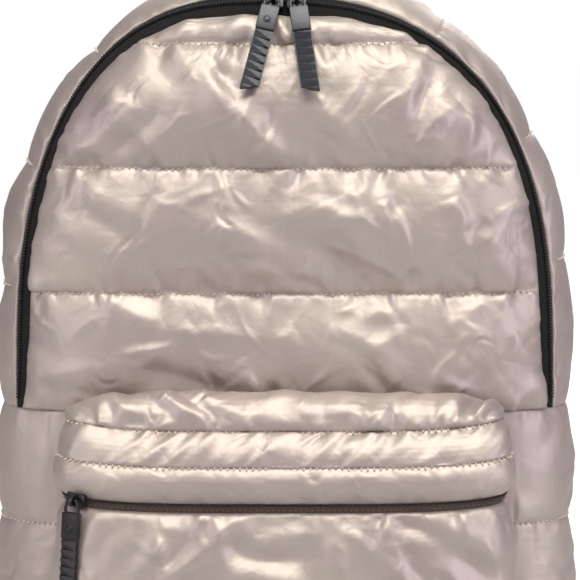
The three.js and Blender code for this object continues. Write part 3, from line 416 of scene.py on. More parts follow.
def billow(start: Array, held: Array, slack: tuple[float, float, float], pressure: float, frames: int) -> Array:
    """Blows a sheet up with Blender's cloth, held where it is stitched.

    Args:
        start: Grid of points to start from.
        held: True where the sheet is stitched down.
        slack: Extra length of the cut fabric along X, Y and Z, as shares.
        pressure: Air pressure behind the sheet.
        frames: Steps of the simulation.

    Returns:
        The grid of points at rest under pressure.
    """
    scale = 10.0
    rows, columns, _ = start.shape
    flat = start.reshape(-1, 3)
    made = new_object("billow", flat * scale, quads(rows, columns))
    group = made.vertex_groups.new(name="held")
    group.add([int(i) for i in np.flatnonzero(held.ravel())], 1.0, "REPLACE")
    made.shape_key_add(name="Basis")
    cut = made.shape_key_add(name="cut")
    centre = flat.mean(0)
    rest = (centre + (flat - centre) * (1 + np.array(slack))) * scale * MM
    cut.data.foreach_set("co", rest.astype(np.float32).ravel())
    cut.value = 0.0
    cloth = made.modifiers.new("cloth", "CLOTH")
    settings = cloth.settings
    settings.quality = 5
    settings.mass = 0.12
    settings.air_damping = 2.0
    settings.tension_stiffness = 18
    settings.compression_stiffness = 18
    settings.shear_stiffness = 4
    settings.bending_stiffness = 0.08
    settings.tension_damping = 12
    settings.compression_damping = 12
    settings.shear_damping = 8
    settings.bending_damping = 0.6
    settings.vertex_group_mass = "held"
    settings.rest_shape_key = cut
    settings.use_pressure = True
    settings.uniform_pressure_force = pressure
    settings.effector_weights.gravity = 0.0
    cloth.collision_settings.use_collision = False
    cloth.collision_settings.use_self_collision = False
    cloth.point_cache.frame_start = 1
    cloth.point_cache.frame_end = frames
    scene = bpy.context.scene
    for number in range(1, frames + 1):
        scene.frame_set(number)
    graph = bpy.context.evaluated_depsgraph_get()
    evaluated = made.evaluated_get(graph)
    blown = np.empty(len(flat) * 3, np.float32)
    evaluated.data.vertices.foreach_get("co", blown)
    mesh = made.data
    bpy.data.objects.remove(made)
    bpy.data.meshes.remove(mesh)
    scene.frame_set(1)
    return blown.reshape(start.shape).astype(float) / (scale * MM)


@dataclass
class Panel:
    """A padded panel: a grid over the stitched surface, held at its seams and blown up."""

    name: str
    node: str
    slot: str
    stitched: Array
    padding: Array
    held: Array
    slack: tuple[float, float, float] = (0.05, 0.05, 0.03)
    pressure: float = 3.0
    frames: int = 18
    cap: float = 3.0
    fill: float = 0.7
    lining: float = LINING
    relief: Optional[Callable[[Array, Array, Array], Array]] = None
    shell: Array = field(default_factory=lambda: np.zeros(0))
    shell_normals: Array = field(default_factory=lambda: np.zeros(0))

    def arc_lengths(self, grid: Array) -> tuple[Array, Array]:
        """Distance of each point along its row and up its column, in millimetres."""
        along = np.linalg.norm(np.diff(grid, axis=1), axis=-1)
        up = np.linalg.norm(np.diff(grid, axis=0), axis=-1)
        along = np.concatenate([np.zeros((len(grid), 1)), np.cumsum(along, 1)], 1)
        up = np.concatenate([np.zeros((1, grid.shape[1])), np.cumsum(up, 0)], 0)
        return along, up

    def blown_up(self) -> Array:
        normals = grid_normals(self.stitched)
        start = self.stitched + normals * (self.padding * 0.85)[..., None]
        plain = self.stitched + normals * self.padding[..., None]
        blown = billow(start, self.held, self.slack, self.pressure, self.frames)
        move = blown - plain
        size = np.linalg.norm(move, axis=-1, keepdims=True)
        return plain + move * np.tanh(size / self.cap) * self.cap / np.maximum(size, 1e-6)

    def build(self, material: bpy.types.Material) -> bpy.types.Object:
        """Args:
            material: The fabric.

        Returns:
            The finished object.
        """
        fine = twice_as_fine(self.blown_up())
        seat = twice_as_fine(self.stitched)
        seat_normals = grid_normals(seat)
        if self.relief is not None:
            along, up = self.arc_lengths(seat)
            lift = self.relief(seat, along, up)
            edge = np.ones(lift.shape)
            edge[0], edge[-1], edge[:, 0], edge[:, -1] = 0, 0, 0, 0
            fine = fine + grid_normals(fine) * (lift * edge)[..., None]
        self.shell, self.shell_normals = fine, grid_normals(fine)
        made = self.closed(fine, seat - seat_normals * self.lining)
        made.data.materials.append(material)
        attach(made, "bag")
        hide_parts(self.node)
        LOG.info("%s: %d faces", self.name, len(made.data.polygons))
        return made

    def closed(self, shell: Array, lining: Array) -> bpy.types.Object:
        """Joins the shell to a coarser lining round the border.

        Args:
            shell: Fine grid of the outside.
            lining: Grid of the same size behind it, of which every fourth point is used.

        Returns:
            The closed object, with a UV map in metres along and up the panel.
        """
        rows, columns, _ = shell.shape
        row_picks = list(range(0, rows - 1, 4)) + [rows - 1]
        column_picks = list(range(0, columns - 1, 4)) + [columns - 1]
        inner = lining[np.ix_(row_picks, column_picks)]
        count = rows * columns
        faces = [list(face) for face in quads(rows, columns)]
        faces += [list(face)[::-1] for face in quads(len(row_picks), len(column_picks), count)]
        at = np.arange(count).reshape(rows, columns)
        inner_at = count + np.arange(inner.shape[0] * inner.shape[1]).reshape(inner.shape[:2])
        for a, (low, high) in enumerate(zip(column_picks[:-1], column_picks[1:])):
            faces.append([*at[0, low : high + 1][::-1], inner_at[0, a], inner_at[0, a + 1]])
            faces.append([*at[-1, low : high + 1], inner_at[-1, a + 1], inner_at[-1, a]])
        for a, (low, high) in enumerate(zip(row_picks[:-1], row_picks[1:])):
            faces.append([*at[low : high + 1, 0], inner_at[a + 1, 0], inner_at[a, 0]])
            faces.append([*at[low : high + 1, -1][::-1], inner_at[a, -1], inner_at[a + 1, -1]])
        made = new_object(self.name, np.concatenate([shell.reshape(-1, 3), inner.reshape(-1, 3)]), faces)
        along, up = self.arc_lengths(shell)
        place = np.stack([along, up], -1)
        inner_place = place[np.ix_(row_picks, column_picks)]
        flat = np.concatenate([place.reshape(-1, 2), inner_place.reshape(-1, 2)]) * MM
        corners = np.empty(len(made.data.loops), np.int32)
        made.data.loops.foreach_get("vertex_index", corners)
        layer = made.data.uv_layers.new(name="cloth")
        layer.data.foreach_set("uv", flat[corners].astype(np.float32).ravel())
        made.data.polygons.foreach_set("use_smooth", np.ones(len(made.data.polygons), bool))
        return made

    def seam(self, row: int) -> tuple[Array, Array]:
        """Points and normals of the shell along one row of the coarse grid."""
        return self.shell[2 * row], self.shell_normals[2 * row]

    def rib(self, column: int) -> tuple[Array, Array]:
        """Points and normals of the shell along one column of the coarse grid."""
        return self.shell[:, 2 * column], self.shell_normals[:, 2 * column]


def stepped(lines: Sequence[float], pitch: float) -> tuple[Array, list[int]]:
    """Values that divide a list of lines into steps of about a pitch.

    Args:
        lines: The lines, in order.
        pitch: The wanted step.

    Returns:
        The values, and the place of each line among them.
    """
    values, places = [lines[0]], [0]
    for low, high in zip(lines[:-1], lines[1:]):
        steps = max(2, round(abs(high - low) / pitch))
        values += [low + (high - low) * step / steps for step in range(1, steps + 1)]
        places.append(len(values) - 1)
    return np.array(values), places


def fullness(values: Array, lines: Sequence[float], power: float = 0.6) -> Array:
    """Puff between quilt lines: 0 on a line and 1 midway between two."""
    edges = np.array(lines)
    place = np.clip(np.searchsorted(edges, values, side="left") - 1, 0, len(edges) - 2)
    share = np.clip((values - edges[place]) / (edges[place + 1] - edges[place]), 0, 1)
    return np.sin(math.pi * share) ** power


def rise(distance: Array, run: float = 24.0) -> Array:
    """How far the padding has risen at a distance from a seam, from 0 to 1."""
    return np.sqrt(np.clip(distance / run, 0, 1))


def seam_distance(values: Array, lines: Sequence[float]) -> Array:
    """Distance from the nearest of some lines."""
    return np.min([np.abs(values - line) for line in lines], axis=0)


def held_mask(shape: tuple[int, int], rows: Sequence[int] = (), columns: Sequence[int] = ()) -> Array:
    """True on the border and on the given rows and columns."""
    held = np.zeros(shape, bool)
    held[0], held[-1], held[:, 0], held[:, -1] = True, True, True, True
    for row in rows:
        held[row] = True
    for column in columns:
        held[:, column] = True
    return held


@dataclass
class FrontPanel:
    """The arched, quilted front inside the main zipper."""

    lines: tuple[float, ...] = (195.9, 255.2, 317.2, 378.6)
    puff: float = 7.6
    top_half: float = 24.0
    top_fullness: float = 0.5
    creases: tuple[Crease, ...] = ()
    panel: Optional[Panel] = None
    places: list[int] = field(default_factory=list)

    def relief(self, points: Array, along: Array, up: Array) -> Array:
        """The gathers at the quilt lines and the listed folds."""
        x, z = points[..., 0], points[..., 2]
        total = 0.3 * smooth_noise(x, z, 3, 26) * fullness(z, [*self.lines, 400], 1.0)
        total += (crumples(x, z, 4, 100, 1.5) + crumples(x, z, 11, 150, 0.62, 0.42)) * fullness(z, [*self.lines, 404], 0.4)
        for number, line in enumerate(self.lines):
            above = np.where(z >= line, z - line, 1e3)
            below = np.where(z <= line, line - z, 1e3)
            total += gathers(x + 140, above, 280, 20 + number, 1.25, 9)
            total += gathers(x + 140, below, 280, 40 + number, 1.3, 10)
        edge = np.maximum(0, ZIP.half_width(z, Edge.PANEL) - np.abs(x - ZIP.middle(z)))
        total += gathers(z - 190, np.where(x < 0, edge, 1e3), 215, 51, 0.8, 9)
        total += gathers(z - 190, np.where(x > 0, edge, 1e3), 215, 52, 0.8, 9)
        for crease in self.creases:
            total += crease.relief(x, z)
        return total

    def build(self, fabric: bpy.types.Material) -> Panel:
        """Makes the panel."""
        top = ZIP.height(self.top_half, Edge.PANEL)
        heights, self.places = stepped(self.lines, 2.05)
        crown = self.lines[-1] + (top - self.lines[-1]) * np.linspace(0, 1, 13)[1:] ** 0.7
        heights = np.concatenate([heights, crown])
        columns = np.linspace(-1, 1, 133)
        z = np.repeat(heights[:, None], len(columns), 1)
        half = ZIP.half_width(z, Edge.PANEL)
        x = ZIP.middle(z) + columns[None] * half
        stitched = np.stack([x, BODY.face_y(x, z, Face.FRONT), z], -1)
        crown_line = ZIP.height(0, Edge.PANEL)
        full = fullness(z, [*self.lines, crown_line])
        full = full * np.where(z > self.lines[-1], self.top_fullness, 1) * rise(half - np.abs(x - ZIP.middle(z)))
        held = held_mask(z.shape, self.places)
        self.panel = Panel(
            "front_panel_shell", "front_panel", "pearl_fabric", stitched, SEAM_DEPTH + self.puff * full, held,
            slack=(0.06, 0.0, 0.035), relief=self.relief,
        )
        self.panel.build(fabric)
        return self.panel


@dataclass
class ArchGusset:
    """The quilted strip that runs over the arch, from the zipper to the back seam."""

    ribs: tuple[float, ...] = (0, 0.103, 0.21, 0.322, 0.429, 0.535, 0.643, 0.765, 0.874, 1)
    puff: float = 3.8
    seam_gap: float = 0.8
    places: list[int] = field(default_factory=list)

    def relief(self, points: Array, along: Array, up: Array) -> Array:
        """The gathers beside the ribs."""
        length = along[:, -1:].mean()
        total = 0.3 * smooth_noise(along, up, 5, 30) + crumples(along, up, 6, 70, 0.9) + crumples(along, up, 12, 90, 0.4, 0.45)
        total += gathers(along, np.maximum(0, up), 760, 53, 0.7, 8)
        for number, rib in enumerate(self.ribs[1:-1]):
            away = along / along[:, -1:] * length - rib * length
            total += gathers(up, np.where(away >= 0, away, 1e3), 110, 60 + number, 0.5, 7)
            total += gathers(up, np.where(away <= 0, -away, 1e3), 110, 80 + number, 0.5, 7)
        return total

    def build(self, fabric: bpy.types.Material) -> Panel:
        """Makes the gusset."""
        shares, self.places = stepped([rib * 740 for rib in self.ribs], 2.6)
        shares = shares / 740
        columns = shares[None] + np.zeros((36, 1))
        back = BODY.back_depth * (1 - BODY.back_seam**BODY.back_power) ** (1 / BODY.back_power) - self.seam_gap
        front = ZIP.depth(shares, Edge.OUTER)[None] + self.seam_gap
        v = np.linspace(0, 1, 36)[:, None]
        depth = front + (back - front) * v
        stitched = BODY.arch_point(columns.ravel(), depth.ravel()).reshape(*depth.shape, 3)
        full = fullness(columns, self.ribs) * rise(np.minimum(v, 1 - v) * (back - front))
        held = held_mask(depth.shape, columns=self.places)
        panel = Panel(
            "arch_gusset_shell", "upper_gusset", "pearl_fabric", stitched, SEAM_DEPTH + self.puff * full, held,
            slack=(0.04, 0.05, 0.04), cap=2.5, relief=self.relief,
        )
        panel.build(fabric)
        return panel


@dataclass
class LowerWall:
    """The quilted wall round the lower half, from one back seam round the front to the other."""

    lines: tuple[float, ...] = (3.0, 69.9, 138.5, 195.9)
    puff: float = 3.8
    behind_pocket: float = 0.2
    pocket_half: float = 116.0
    places: list[int] = field(default_factory=list)

    def relief(self, points: Array, along: Array, up: Array) -> Array:
        """The gathers at the quilt lines, except behind the pocket."""
        z = points[..., 2]
        total = 0.35 * smooth_noise(along, z, 7, 34) * fullness(z, self.lines, 1.0)
        total += (crumples(along, z, 8, 110, 1.0) + crumples(along, z, 13, 130, 0.45, 0.45)) * fullness(z, self.lines, 0.4)
        for number, line in enumerate(self.lines[1:]):
            total += gathers(along, np.where(z >= line, z - line, 1e3), 700, 100 + number, 0.6, 9)
            total += gathers(along, np.where(z <= line, line - z, 1e3), 700, 120 + number, 0.6, 9)
        hidden = (np.abs(points[..., 0]) < self.pocket_half) & (points[..., 1] < -40)
        return np.where(hidden, 0.0, total)

    def build(self, fabric: bpy.types.Material) -> Panel:
        """Makes the wall."""
        seam = math.degrees(math.acos(BODY.back_seam ** (BODY.back_power / 2)))
        angle = np.linspace(-seam, 180 + seam, 4001)
        plan = BODY.plan_point(angle, np.full(4001, BODY.middle_seam))
        length = np.concatenate([[0], np.cumsum(np.linalg.norm(np.diff(plan, axis=0), axis=1))])
        degrees = np.interp(np.linspace(0, length[-1], 221), length, angle)
        heights, self.places = stepped(self.lines, 2.4)
        z, turn = np.meshgrid(heights, degrees, indexing="ij")
        stitched = BODY.plan_point(turn, z)
        x, y = stitched[..., 0], stitched[..., 1]
        back_edge = BODY.half_width(np.array(BODY.middle_seam)) + BODY.back_depth
        from_back = back_edge - np.abs(x) - np.maximum(0, y) - 1.2
        beside = rise(np.abs(x) - self.pocket_half)
        on_side = np.where(y > -30, 1, self.behind_pocket + (1 - self.behind_pocket) * beside)
        full = fullness(z, self.lines) * rise(from_back) * on_side
        panel = Panel(
            "lower_wall_shell", "lower_body", "pearl_fabric", stitched, SEAM_DEPTH + self.puff * full,
            held_mask(z.shape, self.places) | ((np.abs(x) < self.pocket_half - 4) & (y < -40)),
            slack=(0.045, 0.045, 0.03), cap=2.5, relief=self.relief,
        )
        panel.build(fabric)
        return panel


@dataclass
class BackPanel:
    """The back that lies against the wearer, in four quilted channels."""

    lines: tuple[float, ...] = (3.0, 100.1, 196.0, 289.9)
    puff: float = 3.4
    seam_gap: float = 0.8
    places: list[int] = field(default_factory=list)

    def half(self, z: Array) -> Array:
        """Half the panel's width at a height."""
        up = np.maximum(0, z - BODY.spring) / (BODY.height - BODY.spring)
        room = np.maximum(0, BODY.back_seam**BODY.arch_power - up**BODY.arch_power)
        return BODY.half_width(z) * room ** (1 / BODY.arch_power)

    def padding(self, x: Array, z: Array) -> Array:
        """Padding behind the stitched surface."""
        top = BODY.spring + BODY.back_seam * (BODY.height - BODY.spring)
        return SEAM_DEPTH + self.puff * fullness(z, [*self.lines, top]) * rise(self.half(z) - np.abs(x))

    def relief(self, points: Array, along: Array, up: Array) -> Array:
        """The gathers at the quilt lines."""
        x, z = points[..., 0], points[..., 2]
        total = 0.25 * smooth_noise(x, z, 9, 36) + crumples(x, z, 10, 60, 0.4)
        for number, line in enumerate(self.lines[1:]):
            total += gathers(x + 150, np.where(z >= line, z - line, 1e3), 300, 140 + number, 0.45, 8)
            total += gathers(x + 150, np.where(z <= line, line - z, 1e3), 300, 160 + number, 0.45, 8)
        return total

    def build(self, fabric: bpy.types.Material) -> Panel:
        """Makes the panel."""
        top = BODY.spring + BODY.back_seam * (BODY.height - BODY.spring) - 1.2
        heights, self.places = stepped([*self.lines, top], 3.0)
        z, u = np.meshgrid(heights, np.linspace(1, -1, 101), indexing="ij")
        x = u * (self.half(z) - self.seam_gap)
        stitched = np.stack([x, BODY.face_y(x, z, Face.BACK), z], -1)
        panel = Panel(
            "back_panel_shell", "back_panel", "pearl_fabric", stitched, self.padding(x, z),
            held_mask(z.shape, self.places), slack=(0.04, 0.0, 0.025), cap=1.5, relief=self.relief,
        )
        panel.build(fabric)
        return panel


@dataclass(frozen=True)
class PocketRow:
    """One level of the pocket: shares of its height, half width and reach."""

    height: float
    width: float
    front: float


@dataclass
class Pocket:
    """The puffed front pocket: face, lip over the zipper, band and top."""

    top: float = 196.6
    bottom: float = 18.0
    half: float = 110.0
    end_lift: float = 5.0
    reach: float = 112.0
    power: float = 7.0
    puff: float = 6.6
    lip_puff: float = 4.8
    band_puff: float = 2.6
    crest_puff: float = 2.2
    crest_rise: float = 14.0
    crest_run: float = 28.0
    face: tuple[PocketRow, ...] = (
        PocketRow(0, 0.85, 0), PocketRow(0.035, 0.93, 0.66), PocketRow(0.13, 0.965, 0.92),
        PocketRow(0.39, 0.975, 0.98), PocketRow(0.752, 0.975, 0.985),
    )
    lip: tuple[PocketRow, ...] = (PocketRow(0.777, 0.987, 1.015), PocketRow(0.8755, 1.004, 1.03))
    band: tuple[PocketRow, ...] = (PocketRow(0.8755, 1.004, 1.03), PocketRow(0.966, 0.965, 0.80))
    face_lines: tuple[float, ...] = (0, 0.39, 0.752)

    def mixed(self, rows: Sequence[PocketRow], v: Array) -> tuple[Array, Array, Array]:
        """Height, width and front at places between rows, v from 0 to 1."""
        knots = np.linspace(0, 1, len(rows))
        return tuple(np.interp(v, knots, [getattr(row, key) for row in rows]) for key in ("height", "width", "front"))

    def point(self, degrees: Array, height: Array, width: Array, front: Array) -> Array:
        """Points of the pocket's stitched surface, 0 degrees at the left and 180 at the right."""
        angle = np.radians(degrees)
        power = 2 / self.power
        half = width * self.half
        out = np.abs(np.cos(angle)) ** power
        x = -np.sign(np.cos(angle)) * half * out
        z = self.bottom + (self.top - self.bottom) * height + self.end_lift * height * out**4
        clear = 1.2 + 3.2 * 0.25 + LINING + 0.3
        start = clear - BODY.face_y(half, z, Face.FRONT)
        far = start + (self.reach - start) * front
        reach = start + (far - start) * np.maximum(0, np.sin(angle)) ** power
        return np.stack([x, -np.maximum(reach, clear - BODY.face_y(x, z, Face.FRONT)), z], -1)

    def angles(self, count: int) -> Array:
        """Angles that divide the pocket's plan into equal steps."""
        turn = np.linspace(0, 180, 4001)
        row = self.face[3]
        plan = self.point(turn, *(np.full(4001, value) for value in (row.height, row.width, row.front)))
        length = np.concatenate([[0], np.cumsum(np.linalg.norm(np.diff(plan, axis=0), axis=1))])
        return np.interp(np.linspace(0, length[-1], count), length, turn)

    def lip_relief(self, points: Array, along: Array, up: Array) -> Array:
        """Fine slanting creases on the lip."""
        total = 0.12 * smooth_noise(along, up, 31, 18)
        total += gathers(along, up, 330, 33, 0.4, 6) + crumples(along, up, 50, 50, 0.35, 0.4)
        return total + gathers(along, up.max() - up, 330, 34, 0.55, 6)

    def band_relief(self, points: Array, along: Array, up: Array) -> Array:
        """Dense upright gathers on the band, from the row above it and the seam below."""
        total = 0.3 * smooth_noise(along, up, 35, 16)
        total += gathers(along, np.maximum(0, up[-1:] - up), 330, 36, 0.95, 8)
        total += gathers(along, np.maximum(0, up[-1:] - up), 330, 49, 0.7, 5)
        return total + gathers(along, up, 330, 37, 0.8, 6)

    def top_relief(self, points: Array, along: Array, up: Array) -> Array:
        """Gathers that lean back from the stitched row, and the folds behind them."""
        x = points[..., 0]
        total = 0.3 * smooth_noise(x, up, 38, 26) + crumples(x, up, 46, 34, 0.9) + crumples(x, up, 48, 50, 0.45, 0.4)
        total += gathers(x + 120, up, 240, 39, 1.2, 11) + gathers(x + 120, up, 240, 54, 0.8, 6)
        for crease in TOP_FOLDS:
            total += crease.relief(x, up)
        return total

    def face_relief(self, points: Array, along: Array, up: Array) -> Array:
        """Gathers under the zipper and at the quilt line, and the main folds."""
        x, z = points[..., 0], points[..., 2]
        line = self.bottom + (self.top - self.bottom) * self.face_lines[1]
        high = self.bottom + (self.top - self.bottom) * self.face_lines[2]
        total = 0.3 * smooth_noise(x, z, 41, 26) + crumples(along, z, 45, 60, 1.5) + crumples(along, z, 47, 90, 0.62, 0.42)
        total += gathers(along, np.maximum(0, high - z), 330, 42, 1.3, 14)
        total += gathers(along, np.where(z >= line, z - line, 1e3), 330, 43, 0.6, 8)
        total += gathers(along, np.where(z <= line, line - z, 1e3), 330, 44, 0.6, 8)
        for crease in FACE_FOLDS:
            total += crease.relief(x, z)
        return total

    def sheet(
        self, name: str, node: str, rows: Sequence[PocketRow], v: Array, puff: Array,
        held_rows: Sequence[int], columns: int, relief: Callable[[Array, Array, Array], Array],
        slack: tuple[float, float, float], cap: float,
    ) -> Panel:
        """A pocket panel over some rows, ready to build.

        Args:
            name: The piece's name.
            node: The solid that it stands for.
            rows: The rows it spans.
            v: Places between the rows, from 0 to 1.
            puff: Padding at each place.
            held_rows: Places of the stitched rows.
            columns: Steps round the plan.
            relief: Its gathers and folds.
            slack: Extra length of its fabric.
            cap: How far the simulation may move a point.

        Returns:
            The panel.
        """
        degrees = self.angles(columns)
        height, width, front = self.mixed(rows, v)
        turn = degrees[None] + 0 * height[:, None]
        spread = [value[:, None] + 0 * turn for value in (height, width, front)]
        stitched = self.point(turn, *spread)
        padding = SEAM_DEPTH + puff[:, None] + 0 * turn
        held = held_mask(turn.shape, held_rows)
        return Panel(
            name, node, "pearl_fabric", stitched, padding, held, slack=slack, cap=cap, relief=relief,
        )

    def top_sheet(self) -> Panel:
        """The pocket's top, humped between the body and the stitched row."""
        degrees = self.angles(221)[18:-18]
        v, turn = np.meshgrid(np.linspace(0, 1, 27), degrees, indexing="ij")
        row = self.band[1]
        rim = [np.full(turn.shape, value) for value in (row.height, row.width, row.front)]
        front = self.point(turn, *rim)
        back = np.minimum(0, BODY.face_y(front[..., 0], np.array(self.top), Face.FRONT) - 1.2 - LINING - 0.7)
        run = np.maximum(0, back - front[..., 1])
        inwards = 1 - (np.abs(front[..., 0]) / self.half) ** 5
        hump = self.crest_rise * inwards * np.minimum(1, run / self.crest_run) * np.sin(math.pi * v**0.8)
        y = front[..., 1] + (np.maximum(front[..., 1], back) - front[..., 1]) * v
        z = front[..., 2] + (np.maximum(self.top, front[..., 2]) - front[..., 2]) * v + hump
        stitched = np.stack([front[..., 0], y, z], -1)
        padding = SEAM_DEPTH + self.crest_puff * fullness(v, [0, 1], 1.1)
        return Panel(
            "pocket_top_shell", "pocket_top", "pearl_fabric", stitched, padding, held_mask(v.shape),
            slack=(0.05, 0.03, 0.03), cap=2.5, relief=self.top_relief,
        )

    def build(self, fabric: bpy.types.Material) -> dict[str, Panel]:
        """Makes the pocket's panels.

        Args:
            fabric: The pearl fabric.

        Returns:
            The panels by name.
        """
        knots = [0, 0.25, 0.5, 0.75, 1]
        v, _ = stepped([knot * 139 for knot in knots], 2.3)
        v = v / v[-1]
        height, _, _ = self.mixed(self.face, v)
        puff = self.puff * fullness(height, self.face_lines)
        middle = int(np.argmin(np.abs(height - self.face_lines[1])))
        face = self.sheet(
            "pocket_face_shell", "pocket_face", self.face, v, puff, [middle], 141, self.face_relief,
            (0.055, 0.03, 0.035), 3.0,
        )
        strip = np.linspace(0, 1, 15)
        lip = self.sheet(
            "pocket_lip_shell", "pocket_lip", self.lip, strip, self.lip_puff * fullness(strip, [0, 1], 0.75), [], 201,
            self.lip_relief, (0.02, 0.02, 0.03), 1.2,
        )
        band = self.sheet(
            "pocket_band_shell", "pocket_band", self.band, strip, self.band_puff * fullness(strip, [0, 1], 1.1), [], 201,
            self.band_relief, (0.08, 0.05, 0.06), 2.0,
        )
        panels = {"face": face, "lip": lip, "band": band, "top": self.top_sheet()}
        for panel in panels.values():
            panel.build(fabric)
        return panels


FRONT_FOLDS: tuple[Crease, ...] = (
    Crease(Fold.SHELF, -47, 370, 0, 318, 3.2, 9, 2),
    Crease(Fold.CREASE, -36, 366, -22, 348, 2.0, 6, 3),
    Crease(Fold.RIDGE, -78, 340, -56, 320, 1.6, 6, 1),
    Crease(Fold.SHELF, 62, 328, 86, 348, 3.0, 7, 1),
    Crease(Fold.CREASE, 64, 340, 72, 361, 2.2, 4, 1),
    Crease(Fold.SHELF, -38, 291, 3, 273, 2.4, 7, 2),
    Crease(Fold.CREASE, 4, 283, 44, 257, 2.4, 8, 3),
    Crease(Fold.RIDGE, 48, 302, 51, 286, 2.4, 4, 0),
    Crease(Fold.SHELF, 81, 303, 87, 285, 2.4, 5, 2),
    Crease(Fold.RIDGE, 90, 348, 88, 324, 2.0, 4, 1),
    Crease(Fold.CREASE, -112, 300, -70, 276, 2.0, 6, 3),
    Crease(Fold.SHELF, -100, 262, -60, 240, 2.2, 7, -3),
    Crease(Fold.RIDGE, 10, 350, 34, 330, 1.8, 6, 2),
    Crease(Fold.CREASE, -98, 318, -64, 342, 2.0, 5, -2),
    Crease(Fold.SHELF, -24, 344, 8, 322, 2.4, 6, -2),
    Crease(Fold.RIDGE, -112, 330, -86, 322, 1.5, 4, 1),
    Crease(Fold.SHELF, 20, 240, 62, 214, 2.4, 8, 3),
    Crease(Fold.SHELF, -129, 210, -75, 218, 1.8, 6, 3),
    Crease(Fold.CREASE, -75, 219, -14, 201, 1.6, 5, 2),
    Crease(Fold.SHELF, 60, 194, 88, 226, 2.4, 8, 1),
    Crease(Fold.SHELF, 104, 194, 134, 213, 2.2, 7, 1),
    Crease(Fold.RIDGE, -60, 237, -10, 233, 1.1, 4, 1),
)
TOP_FOLDS: tuple[Crease, ...] = (
    Crease(Fold.SHELF, -32, 3, -72, 26, 2.2, 5, 1),
    Crease(Fold.CREASE, -24, 3, -58, 24, 1.8, 4, 1),
    Crease(Fold.SHELF, -60, 3, -92, 18, 1.6, 4, 1),
    Crease(Fold.CREASE, 84, 3, 98, 20, 2.8, 4, 1),
    Crease(Fold.RIDGE, 92, 2, 101, 14, 2.0, 3, 1),
    Crease(Fold.CREASE, 96, 2, 103, 8, 1.8, 2.5, 0),
)
FACE_FOLDS: tuple[Crease, ...] = (
    Crease(Fold.SHELF, -34, 140, -86, 104, 4.2, 7, 2),
    Crease(Fold.CREASE, -40, 140, -70, 112, 2.6, 5, -2),
    Crease(Fold.CREASE, -34, 138, 12, 132, 3.2, 6, -5),
    Crease(Fold.RIDGE, -62, 143, -60, 122, 2.0, 3.5, 1),
    Crease(Fold.SHELF, -20, 128, 26, 104, 2.8, 7, 3),
    Crease(Fold.CREASE, 72, 138, 100, 118, 2.8, 6, 2),
    Crease(Fold.SHELF, 44, 134, 74, 106, 2.6, 6, -2),
    Crease(Fold.RIDGE, 20, 141, 30, 120, 1.6, 3.5, 1),
)


@dataclass(frozen=True)
class PearlFinish:
    """Pearl-coated nylon: a mauve base that turns cream where light strikes it."""

    mauve: tuple[float, float, float] = (0.430, 0.365, 0.370)
    cream: tuple[float, float, float] = (0.535, 0.482, 0.448)
    metallic: float = 0.60
    roughness: float = 0.49
    coat: float = 0.06

    def build(self) -> bpy.types.Material:
        """Makes the material."""
        tree = NodeTree("pearl_fabric")
        place = tree.add("ShaderNodeTexCoord")
        weave = tree.group(crinkle_group(), place.outputs["Object"], Scale=1.0)
        tone = tree.add("ShaderNodeMix", data_type="RGBA")
        tree.link(weave.outputs["Patch"], tone.inputs["Factor"])
        tone.inputs["A"].default_value = (*self.mauve, 1)
        tone.inputs["B"].default_value = (*self.cream, 1)
        rough = tree.add("ShaderNodeMapRange")
        tree.link(weave.outputs["Patch"], rough.inputs["Value"])
        rough.inputs["To Min"].default_value = self.roughness - 0.04
        rough.inputs["To Max"].default_value = self.roughness + 0.06
        bump = tree.add("ShaderNodeBump")
        bump.inputs["Distance"].default_value = 0.0014
        bump.inputs["Strength"].default_value = 0.8
        tree.link(weave.outputs["Height"], bump.inputs["Height"])
        shader = tree.shader
        tree.link(tone.outputs["Result"], shader.inputs["Base Color"])
        tree.link(rough.outputs["Result"], shader.inputs["Roughness"])
        tree.link(bump.outputs["Normal"], shader.inputs["Normal"])
        shader.inputs["Metallic"].default_value = self.metallic
        shader.inputs["Coat Weight"].default_value = self.coat
        shader.inputs["Coat Roughness"].default_value = 0.36
        shader.inputs["Coat Tint"].default_value = (1.0, 0.93, 0.80, 1)
        return tree.material


